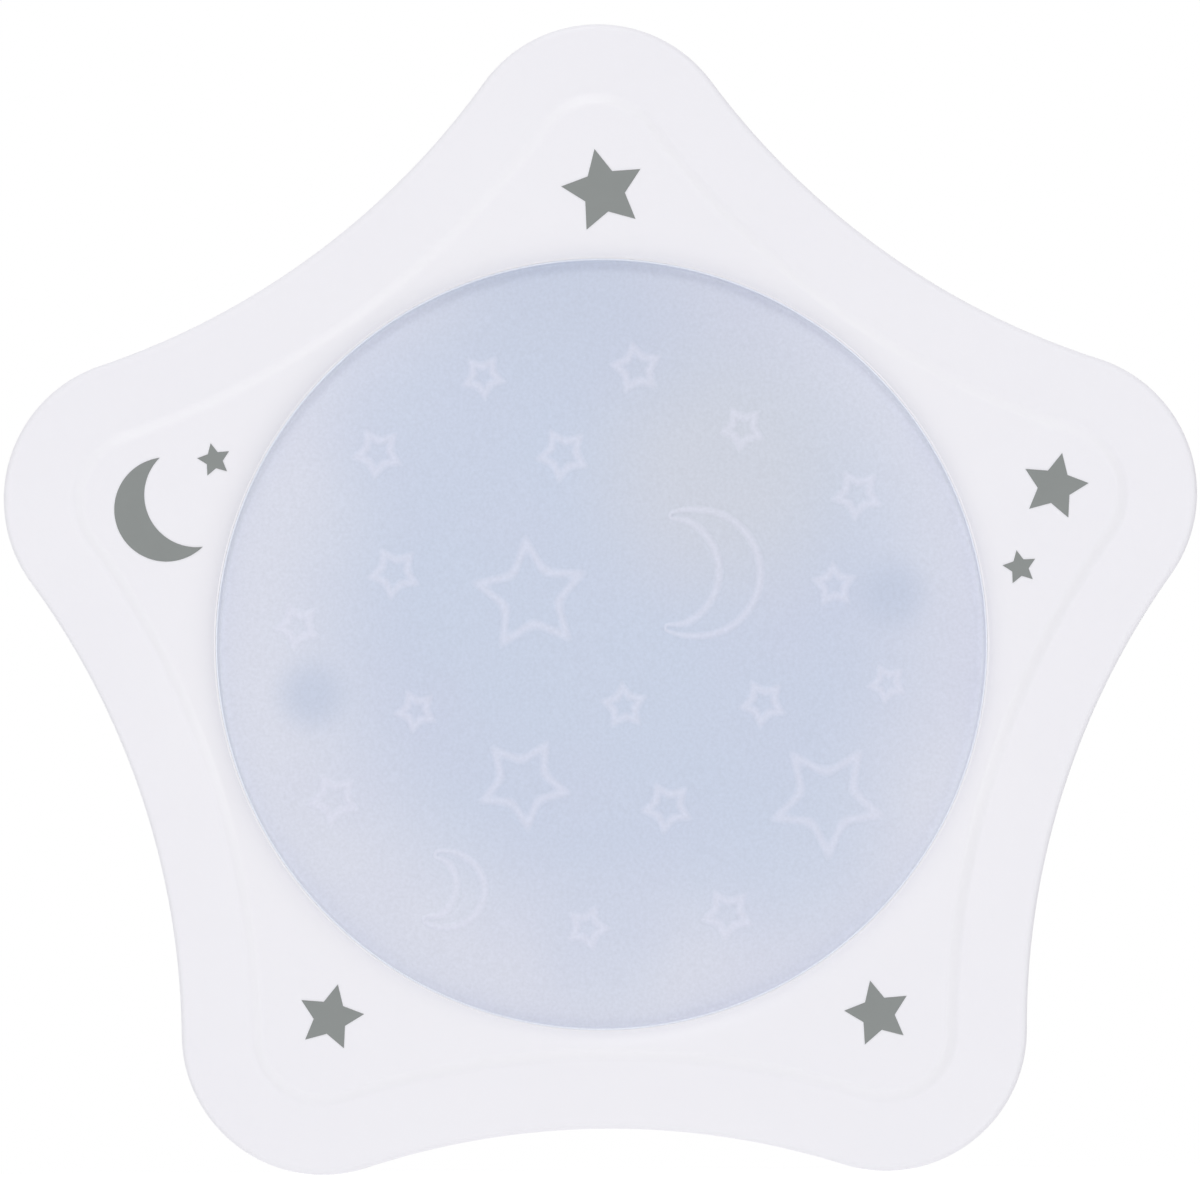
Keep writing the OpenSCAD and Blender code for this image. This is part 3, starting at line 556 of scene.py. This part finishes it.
def starCurve(radius, turn, notch, perEdge, ease=0):
    # ten corners in turn at the tip radius and the notch radius, joined by straight edges, then averaged
    # along the loop over a few points to ease the corners
    angle = np.radians(90 + turn) + np.pi/5*np.arange(10)
    corners = np.where(np.arange(10) % 2 == 0, radius, notch*radius)[:, None]*ray(angle)
    t = np.linspace(0, 1, perEdge, endpoint=False)[None, :, None]
    loop = (corners[:, None]*(1 - t) + np.roll(corners, -1, axis=0)[:, None]*t).reshape(-1, 2)
    return np.mean([np.roll(loop, k, axis=0) for k in range(-ease, ease + 1)], axis=0)


def crescentArcs(outer, outerR, inner, innerR, steps):
    # the outer and inner arcs of a crescent, horn to horn anticlockwise round the outer circle: point =
    # centre + radius*direction, and the horns are where the two circles cross
    gap = np.subtract(inner, outer)
    away, lean = np.hypot(*gap), np.arctan2(gap[1], gap[0])
    along = (away**2 + outerR**2 - innerR**2)/(2*away)  # from the outer centre to the line through the horns
    outEnd = np.arccos(along/outerR)
    inEnd = np.arctan2(np.sin(outEnd)*outerR, along - away)
    t = np.linspace(0, 1, steps)
    return (outer + outerR*ray(lean + outEnd + 2*(np.pi - outEnd)*t),
            inner + innerR*ray(lean + inEnd + 2*(np.pi - inEnd)*t))


def ridgeProfile():
    # share of the way across a line and rise over the dome: a squared half sine, closed below
    t = np.linspace(0, 1, relief["rows"])
    rise = (relief["height"] + relief["under"])*np.sin(np.pi*t)**2 - relief["under"]
    return np.append(t, (1, 0)), np.append(rise, [-relief["sink"]]*2)


def ridge(outer, inner):  # point = outer*(1 - share) + inner*share, at the dome's height + the profile's rise
    share, rise = ridgeProfile()
    flat = outer[None]*(1 - share[:, None, None]) + inner[None]*share[:, None, None]
    return atDepth(flat, domeZ(np.hypot(flat[..., 0], flat[..., 1])) + rise[:, None])


def starRidge(x, y, radius, turn, n):
    # the star's outline, scaled up and down about its centre by half the line's width
    edgeAway = radius*n*np.sin(np.pi/5)/np.sqrt(1 + n*n - 2*n*np.cos(np.pi/5))  # centre to edge
    loop = starCurve(radius, turn, n, relief["perEdge"], relief["ease"])
    share = min(relief["width"]/2/edgeAway, relief["mostIn"])
    return ridge(loop*(1 + share) + (x, y), loop*(1 - share) + (x, y))


def moonRidge(outer, outerR, inner, innerR):
    # outer loop = outline + half the line's width along its normals, with a fan of normals round each horn;
    # inner loop = outline + the same, or nearly half the crescent's thickness, towards the opposite arc
    half, fan = relief["width"]/2, np.linspace(0, 1, relief["fanSteps"])[1:-1]
    outArc, inArc = crescentArcs(outer, outerR, inner, innerR, relief["arcSteps"])
    outAngle = np.arctan2(*(outArc - outer).T[::-1])
    inAngle = np.arctan2(*(inner - inArc).T[::-1])[::-1]
    turns = (inAngle[0] - outAngle[-1]) % (2*np.pi), (outAngle[0] - inAngle[-1]) % (2*np.pi)
    angle = np.concatenate((outAngle, outAngle[-1] + turns[0]*fan, inAngle, inAngle[-1] + turns[1]*fan))
    loop = np.concatenate((outArc, outArc[[-1]*len(fan)], inArc[::-1], outArc[[0]*len(fan)]))
    still = np.zeros((len(fan), 2))
    across = np.concatenate((inArc - outArc, still, (outArc - inArc)[::-1], still))
    span = np.maximum(np.linalg.norm(across, axis=1), 1e-6)
    return ridge(loop + half*ray(angle), loop + np.minimum(half/span, relief["mostAcross"])[:, None]*across)


def reliefParts():
    ridges = [starRidge(*item) for item in relief["stars"]] + [moonRidge(*item) for item in relief["moons"]]
    crown = np.clip(ridgeProfile()[1]/relief["height"], 0, 1)  # each ring's share of the height
    crowns = np.concatenate([crown.repeat(rings.shape[1]) for rings in ridges])
    return [gridPart(rings, loopRows=True) for rings in ridges], crowns


reliefMesh, reliefCrown = reliefParts()
makePiece("lensRelief", reliefMesh, reliefFrost, crease=60, marks=[("crown", reliefCrown)])
print("lens: dome and raised outlines made")


# prints on the bezel's arms: thin grey stars as (across, up, tip radius, turn from tip-up), and one
# crescent as (outer centre, outer radius, inner centre, inner radius)

prints = dict(
    thick=0.04, sink=0.06, notch=0.5, perEdge=8, arcSteps=64,
    stars=((0.45, 37.8, 3.55, 12), (-32.15, 15.6, 1.42, 12), (37.85, 12.9, 2.84, -13), (34.9, 6.17, 1.45, 11),
           (-22.8, -30.9, 2.81, -13), (22.8, -30.9, 2.81, 13)),
    moon=((-36.17, 11.5), 4.34, (-33.64, 12.7), 4.36))


def onBezel(flat, lift):  # points laid on the plateau, lifted off it
    return atDepth(flat, plateauZ - rollDrop(np.hypot(flat[..., 0], flat[..., 1])) + lift)


def printParts():
    # star point = centre + share*outline; crescent point = outer arc*(1 - share) + inner arc*share
    low, high = -prints["sink"], prints["thick"]
    share = np.array((0, 1, 1, 0.8, 0.4, 0))[:, None, None]  # from the middle of the underside to the top's
    lift = np.array([low]*2 + [high]*4)[:, None]
    parts = []
    for x, y, radius, turn in prints["stars"]:
        loop = starCurve(radius, turn, prints["notch"], prints["perEdge"])
        parts.append(gridPart(onBezel(share*loop[None] + (x, y), lift)))
    outArc, inArc = crescentArcs(*prints["moon"], prints["arcSteps"])
    share = np.array((0, 0.5, 1, 1, 0.5, 0))[:, None, None]  # across the top and back below
    lift = np.array([high]*3 + [low]*3)[:, None]
    moon = onBezel(outArc[None]*(1 - share) + inArc[None]*share, lift)
    return parts + [gridPart(moon, loopRows=True, loopCols=False)]


makePiece("armPrints", printParts(), printGrey, crease=30)
print("prints: stars and crescent laid on the arms")


# rear cover: rings from its flat back over the rounded edge, up the wall and back down inside, with the
# switch's slot, the plug's hole and three screw wells

rear = dict(nestZ=31.0, backR=4.0, hold=0.2, band=0.3, wellR=3.155, wellEase=0.06, towerR=4.905, seatZ=19.2,
            seatEase=0.2, plugGap=0.15, edgeSteps=10)
plug = dict(width=35.4, height=13.8, corner=4.8, bevel=1.2, edgeR=1.0, hold=0.15, flange=2.0, lead=0.3,
            pinX=9.5, edgeSteps=8)
seatTop = floorZ + plug["flange"]


def plugLoop(grow):  # the plug block's outline: a rectangle with cut corners, each corner eased
    w, h, c = plug["width"]/2 + grow, plug["height"]/2 + grow, plug["corner"]
    right = [(w - c, -h), (w, c - h), (w, h - c), (w - c, h)]
    return roundedLoop(right + [(-x, -y) for x, y in right], plug["bevel"])


def rearParts():
    # ring = star outline moved inwards, at a depth; the slot's cells are left out of the wall and a tunnel
    # between its outer and inner side takes their place
    v, ch, band, inset = rear, fits["chamfer"], rear["band"], star["rearInset"]
    backZ, wall, (slotLow, slotHigh) = fits["backZ"], fits["wall"], fits["slotZ"]
    low, high, flatIn = slotLow - ch, slotHigh + ch, inset + v["backR"] + v["hold"]
    edgeIn, edgeUp = fillet(v["backR"], v["edgeSteps"])
    innerIn, innerUp = fillet(v["backR"] - wall, v["edgeSteps"])
    rows = [(flatIn, backZ), *zip(inset + edgeIn, backZ + edgeUp)]
    rows += [(inset, z) for z in (low - band, low, high, high + band, v["nestZ"] - band)]
    rows += [(inset + band, v["nestZ"])]
    rows += [(inset + wall, z) for z in (v["nestZ"], high + band, high, low, low - band)]
    rows += [*zip(inset + wall + innerUp, floorZ + innerIn), (flatIn, floorZ)]
    rings = loftRows(starLoop, starNormals, rows)
    cols = len(starLoop)
    first = 2*cols//star["arms"] + star["tipSteps"] + star["flankSteps"]  # in the flank after the third tip
    across = np.arange(first, first + star["slotSteps"] + 1)
    depth = np.asarray(rows)[:, 1]
    outLow, inLow = np.flatnonzero(depth == low)
    outHigh, inHigh = np.flatnonzero(depth == high)
    quads = gridQuads(len(rows), cols).reshape(len(rows) - 1, cols, 4)
    keep = np.ones(quads.shape[:2], bool)
    keep[outLow, across[:-1]] = keep[inHigh, across[:-1]] = False
    slotRound = np.concatenate((across, across[::-1]))  # along the slot's lower side, back along its upper
    upper = np.arange(len(slotRound)) >= len(across)

    def slotRing(deep):  # the slot at its true size, at a depth in the wall
        flat = starLoop[slotRound] + deep*starNormals[slotRound]
        return atDepth(flat*(fits["slotHalf"]/slotEdge, 1), np.where(upper, slotHigh, slotLow))

    tunnel = np.stack((rings[np.where(upper, outHigh, outLow), slotRound], slotRing(inset + ch),
                       slotRing(inset + wall - ch), rings[np.where(upper, inHigh, inLow), slotRound]))
    parts = [(rings.reshape(-1, 3), quads[keep]), gridPart(tunnel)]
    hole, holeNormals = plugLoop(v["plugGap"])
    holeRows = [(-ch, floorZ), (0, floorZ - ch), (0, backZ + ch), (-ch, backZ)]
    parts.append(gridPart(loftRows(hole, holeNormals, holeRows)))
    wellR, seatZ, bore, wellTop = v["wellR"], v["seatZ"], fits["housingBoreR"], fits["wellTop"]
    well = [(v["towerR"], floorZ), (v["towerR"], wellTop), (bore, wellTop), (bore, seatZ),
            (wellR - v["seatEase"], seatZ), (wellR, seatZ - v["seatEase"]), (wellR, backZ + ch),
            (wellR + v["wellEase"], backZ + v["wellEase"]), (wellR + ch, backZ)]
    spots = [armEnds[k] for k in housingArms]
    parts += [gridPart(revolve(well, spot)) for spot in spots]
    borders = [starLoop + flatIn*starNormals, hole - ch*holeNormals]
    for radius, z, facing in ((wellR + ch, backZ, -1), (v["towerR"], floorZ, 1)):
        parts.append(flatFace(borders + [circle(spot, radius) for spot in spots], z, facing))
    return parts


makePiece("rearShell", rearParts(), shellWhite, replaced=("rear_cover",))


# plug block: rings along the pins' direction, from its eased pin face to the flange inside the rear cover

def plugParts():
    # ring = outline moved inwards, at a depth. The first moves in by less than the corners' radius, so that
    # it doesn't fold over
    v, hold, bore = plug, plug["hold"], fits["pinBoreR"]
    loop, normals = plugLoop(0)
    rows = [(v["edgeR"] + hold, 0), *zip(*fillet(v["edgeR"], v["edgeSteps"])), (0, v["edgeR"] + hold),
            (0, floorZ - hold), (0, floorZ), (-v["flange"], floorZ), (-v["flange"], seatTop - v["lead"]),
            (v["lead"] - v["flange"], seatTop)]
    parts = [gridPart(loftRows(loop, normals, rows))]
    spots = [(side*v["pinX"], 0) for side in (-1, 1)]
    parts += [gridPart(revolve([(bore, seatTop), (bore, 0)], spot)) for spot in spots]
    bores = [circle(spot, bore) for spot in spots]
    parts.append(flatFace([loop + rows[0][0]*normals] + bores, 0, -1))
    parts.append(flatFace([loop + rows[-1][0]*normals] + bores, seatTop, 1))
    return parts


makePiece("plugBlock", plugParts(), plugWhite, replaced=("plug_body",))


# pins, sleeves and screws: sections turned about their axes

pin = dict(length=19.0, radius=2.0, tipRound=1.2, tipSteps=8, sleeveEnd=10.0, shoulder=(0.15, 0.2),
           coreR=1.4, sleeveR=1.8, sleeveEase=0.12, sleeveGap=0.02, rivetR=2.5, rivetH=0.8, rivetEase=0.2,
           postR=0.8, postH=2.0)


def pinSection():  # from the middle of the rounded tip, past the core and the rivet, to the wire's post
    v, end, ease = pin, -pin["sleeveEnd"], pin["rivetEase"]
    tipIn, tipUp = fillet(v["tipRound"], v["tipSteps"])
    rivetTop = seatTop + v["rivetH"]
    return [(0, -v["length"]), *zip(v["radius"] - tipIn, tipUp - v["length"]),
            (v["radius"], end - v["shoulder"][1]), (v["radius"] - v["shoulder"][0], end), (v["coreR"], end),
            (v["coreR"], seatTop), (v["rivetR"], seatTop), (v["rivetR"], rivetTop - ease),
            (v["rivetR"] - ease, rivetTop), (v["postR"], rivetTop), (v["postR"], rivetTop + v["postH"]),
            (0, rivetTop + v["postH"])]


def sleeveSection():  # a tube round the core, eased at its outer end
    start, end, ease = -pin["sleeveGap"], -pin["sleeveEnd"], pin["sleeveEase"]
    outR, bore = pin["sleeveR"], fits["pinBoreR"]
    return [(bore, end), (outR - ease, end), (outR, end + ease), (outR, start), (bore, start)]


for name, node, side in (("livePin", "live_pin", 1), ("neutralPin", "neutral_pin", -1)):
    pinPart = gridPart(revolve(pinSection(), (side*plug["pinX"], 0)))
    makePiece(name, [pinPart], pinMetal, replaced=(node,))
sleeves = [gridPart(revolve(sleeveSection(), (side*plug["pinX"], 0)), loopRows=True) for side in (-1, 1)]
makePiece("pinSleeves", sleeves, sleeveBlack, replaced=("pin_sleeves",))

screw = dict(headR=2.755, headH=2.03, shankR=1.45, length=12.0, crossLong=1.65, crossWide=0.44,
             crossDeep=1.0, crossEase=0.16, panShare=0.62, panStart=0.42, panPower=1.4, crossEnd=1.95,
             crossSteps=44, rimStart=2.02, rimSteps=9, roundSteps=128)


def screwPart(spot, seatZ):
    # head height = a pan shape that falls away to its rim, less a cross recess with eased walls
    v = screw
    r = np.concatenate((np.linspace(0, v["crossEnd"], v["crossSteps"]),
                        np.linspace(v["rimStart"], v["headR"], v["rimSteps"])))
    head = revolve(np.column_stack((r, np.zeros_like(r))), steps=v["roundSteps"])
    x, y = np.abs(head[..., 0]), np.abs(head[..., 1])
    sides = ((x, v["crossLong"]), (y, v["crossWide"]), (y, v["crossLong"]), (x, v["crossWide"]))
    cut = [1 - smooth((away - reach)/v["crossEase"] + 0.5) for away, reach in sides]
    recess = np.maximum(cut[0]*cut[1], cut[2]*cut[3])
    fall = smooth((r/v["headR"] - v["panStart"])/(1 - v["panStart"]))**v["panPower"]
    head[..., 2] = seatZ - v["headH"] + (v["panShare"]*v["headH"]*fall)[:, None] + v["crossDeep"]*recess
    end, shank = seatZ + v["length"], v["shankR"]
    tail = revolve([(v["headR"], seatZ), (shank, seatZ), (shank, end - shank), (shank/3, end), (0, end)],
                   steps=v["roundSteps"])
    return gridPart(np.concatenate((head, tail)) + (*spot, 0))


screws = [screwPart(armEnds[k], rear["seatZ"]) for k in housingArms]
makePiece("housingScrews", screws, screwSteel, replaced=("housing_screws",), crease=40)


# switch knob: a grooved outline carried along the depth, on the plate that slides behind the wall

knob = dict(restX=-1.25, halfW=2.5, halfH=1.7, outY=-39.6, baseY=-34.3, cornerR=0.5, edgeR=0.2,
            groovePitch=1.25, grooveHalf=0.34, grooveDeep=0.31, plateHalf=(7.1, 3.2), plateY=(-34.9, -33.7),
            plateR=0.3, outSteps=121, edgeSteps=5)


def knobParts():
    # outer side = rounded corners + three grooves of a squared cosine. Ring = middle + (outline - middle)*
    # (1 - inset/half size), so that no groove folds over, and both ends close at the middle
    v = knob
    x = np.linspace(-v["halfW"], v["halfW"], v["outSteps"])
    corner = np.clip((np.abs(x) - v["halfW"] + v["cornerR"])/v["cornerR"], 0, 1)
    y = v["outY"] + v["cornerR"]*(1 - np.sqrt(1 - corner**2))
    for k in (-1, 0, 1):
        y += v["grooveDeep"]*np.cos(np.pi/2*np.clip((x - k*v["groovePitch"])/v["grooveHalf"], -1, 1))**2
    grip = np.concatenate(([(-v["halfW"], v["baseY"])], np.column_stack((x, y)), [(v["halfW"], v["baseY"])]))
    (wide, deep), (back, front) = v["plateHalf"], v["plateY"]
    plate = roundedLoop([(-wide, back), (wide, back), (wide, front), (-wide, front)], v["plateR"])[0]
    parts = []
    for outline, halfDepth, edge in ((grip, v["halfH"], v["edgeR"]), (plate, deep, v["plateR"])):
        low, high = outline.min(axis=0), outline.max(axis=0)
        middle, half = (low + high)/2, (high - low)/2
        inset, rise = fillet(edge, v["edgeSteps"])
        share = 1 - np.concatenate((inset, inset[::-1]))[:, None]/half
        share = np.concatenate((np.zeros((1, 2)), share, np.zeros((1, 2))))[:, None]
        depth = np.pad(np.concatenate((rise - halfDepth, (halfDepth - rise)[::-1])), 1, mode="edge")
        rings = atDepth(middle + (outline - middle)[None]*share, depth[:, None])
        parts.append(gridPart(rings + (v["restX"], 0, sum(fits["slotZ"])/2)))
    return parts


makePiece("switchKnob", knobParts(), knobWhite, body="slider", replaced=("switch_knob",),
          crease=45)
print("rear: cover, plug, pins, screws and knob made")


# inside parts keep their CAD shapes and get their own finishes: node, finish, colour, cloud or tarnish,
# roughness and, for plastics, the scale of the clouds

insidePlastics = (
    ("reflector", "reflectorWhite", (0.86, 0.86, 0.86, 1), (0.8, 0.8, 0.8, 1), 0.6, 60.0),
    ("led_board", "boardMask", (0.78, 0.8, 0.77, 1), (0.7, 0.73, 0.7, 1), 0.35, 350.0),
    ("leds", "ledPhosphor", (0.85, 0.62, 0.12, 1), (0.9, 0.75, 0.3, 1), 0.3, 900.0),
    ("dropper_capacitor", "filmYellow", (0.72, 0.42, 0.03, 1), (0.62, 0.34, 0.02, 1), 0.3, 200.0),
    ("fusible_resistor", "resistorLacquer", (0.08, 0.22, 0.28, 1), (0.05, 0.16, 0.2, 1), 0.4, 500.0),
    ("live_wire", "brownCover", (0.16, 0.06, 0.025, 1), (0.12, 0.045, 0.02, 1), 0.5, 500.0),
    ("neutral_wire", "blueCover", (0.03, 0.1, 0.42, 1), (0.02, 0.08, 0.34, 1), 0.5, 500.0),
    ("switch_leads", "redCover", (0.45, 0.02, 0.02, 1), (0.36, 0.015, 0.015, 1), 0.5, 500.0))
insideMetals = (
    ("switch_body", "switchCan", (0.6, 0.61, 0.63, 1), (0.5, 0.5, 0.5, 1), 0.35),
    ("switch_terminals", "tinnedMetal", (0.66, 0.66, 0.64, 1), (0.5, 0.49, 0.46, 1), 0.4))
darkMould = plastic("darkMould", (0.03, 0.03, 0.034, 1), (0.045, 0.045, 0.05, 1), cloudScale=300.0)
finishes = {node: plastic(*look, cloudScale=scale) for node, *look, scale in insidePlastics}
finishes.update({node: metal(*look) for node, *look in insideMetals})
darkNodes = "smoothing_capacitor", "bridge_rectifier", "resistors", "switch_actuator"
finishes.update(dict.fromkeys(darkNodes, darkMould))
finishes.update(dict.fromkeys(("lens_screws", "reflector_screws"), screwSteel))
for node, finish in finishes.items():
    cadNodes[node].data.materials.clear()
    cadNodes[node].data.materials.append(finish)
print("inside:", len(finishes), "nodes finished")


# camera at the photograph's angle, and plain soft light

view = dict(aim=(-0.0000986, 0.0036986), outlineY=-0.03675, away=0.85, frameWidth=0.100167, roll=0.0072,
            sensor=36.0, clipStart=0.01)
camera = bpy.data.objects.new("camera", bpy.data.cameras.new("camera"))
camera.data.sensor_width = view["sensor"]
camera.data.lens = view["sensor"]*view["away"]/view["frameWidth"]
camera.data.clip_start = view["clipStart"]
camera.location = (view["aim"][0], view["outlineY"] - view["away"], view["aim"][1])
camera.rotation_euler = (np.pi/2, view["roll"], 0)
scene.collection.objects.link(camera)
scene.camera = camera
scene.view_settings.view_transform = "Standard"

light = dict(world=1.2, sideFall=0.95, leftLift=0.03, topLift=-0.1, keyPower=5.0,
             keyPlace=(-0.25, -1.25, 1.6), keyAim=(0, -0.03, 0), keySize=(0.5, 0.5), floorZ=-0.13,
             floorSize=3.0, floorGlow=0.13, floorLift=0.1)
world = bpy.data.worlds.new("studio")
scene.world = world
world.use_nodes = True
tree = world.node_tree
tree.nodes.clear()
path = addNode(tree, "ShaderNodeLightPath").outputs
seen = maths(tree, "MAXIMUM", path["Is Glossy Ray"], path["Is Transmission Ray"])
seen = maths(tree, "MAXIMUM", path["Is Camera Ray"], seen)
toward = addNode(tree, "ShaderNodeSeparateXYZ")  # dimmer to both sides and above, brighter to the left
tree.links.new(addNode(tree, "ShaderNodeTexCoord").outputs["Generated"], toward.inputs[0])
across, above = toward.outputs["X"], toward.outputs["Z"]
level = maths(tree, "MULTIPLY_ADD", maths(tree, "MULTIPLY", across, across), -light["sideFall"], 1.0)
level = maths(tree, "MULTIPLY_ADD", across, -light["leftLift"], level)
level = maths(tree, "MULTIPLY_ADD", above, light["topLift"], level)
sky, white = addNode(tree, "ShaderNodeBackground"), addNode(tree, "ShaderNodeBackground")
for ground, strength in ((sky, maths(tree, "MULTIPLY", level, light["world"])), (white, 1.0)):
    ground.inputs["Color"].default_value = (1, 1, 1, 1)
    feed(tree, ground.inputs["Strength"], strength)
choose, out = addNode(tree, "ShaderNodeMixShader"), addNode(tree, "ShaderNodeOutputWorld")
for target, source in zip(choose.inputs, (seen, sky.outputs[0], white.outputs[0])):
    tree.links.new(source, target)
tree.links.new(choose.outputs[0], out.inputs["Surface"])

key = bpy.data.objects.new("keyLight", bpy.data.lights.new("keyLight", "AREA"))
key.data.shape = "RECTANGLE"
key.data.size, key.data.size_y = light["keySize"]
key.data.energy = light["keyPower"]
key.location = light["keyPlace"]
key.rotation_euler = (Vector(light["keyAim"]) - key.location).to_track_quat("-Z", "Y").to_euler()
scene.collection.objects.link(key)

floorMesh = bpy.data.meshes.new("floor")
corners = light["floorSize"]/2*np.array([(-1, -1), (1, -1), (1, 1), (-1, 1)])
floorMesh.from_pydata(atDepth(corners, light["floorZ"]).tolist(), [], [(0, 1, 2, 3)])
floor = bpy.data.objects.new("floor", floorMesh)
floorPale = plastic("floorPale", (0.96, 0.96, 0.96, 1), (0.94, 0.94, 0.94, 1), rough=0.9, bump=0.0,
                    cloudScale=4.0)
tree = floorPale.node_tree  # a faint glow lifts the floor to the background's white, and shadows stay
shader = tree.nodes["Principled BSDF"]
shader.inputs["Emission Color"].default_value = (1, 1, 1, 1)
seen = addNode(tree, "ShaderNodeLightPath").outputs["Is Camera Ray"]
glow = maths(tree, "MULTIPLY_ADD", seen, light["floorLift"], light["floorGlow"])
tree.links.new(glow, shader.inputs["Emission Strength"])
below = addNode(tree, "ShaderNodeNewGeometry").outputs["Backfacing"]  # clear when seen from below
tree.links.new(maths(tree, "SUBTRACT", 1.0, below), shader.inputs["Alpha"])
floorMesh.materials.append(floorPale)
scene.collection.objects.link(floor)
print("studio: camera, light and floor set")
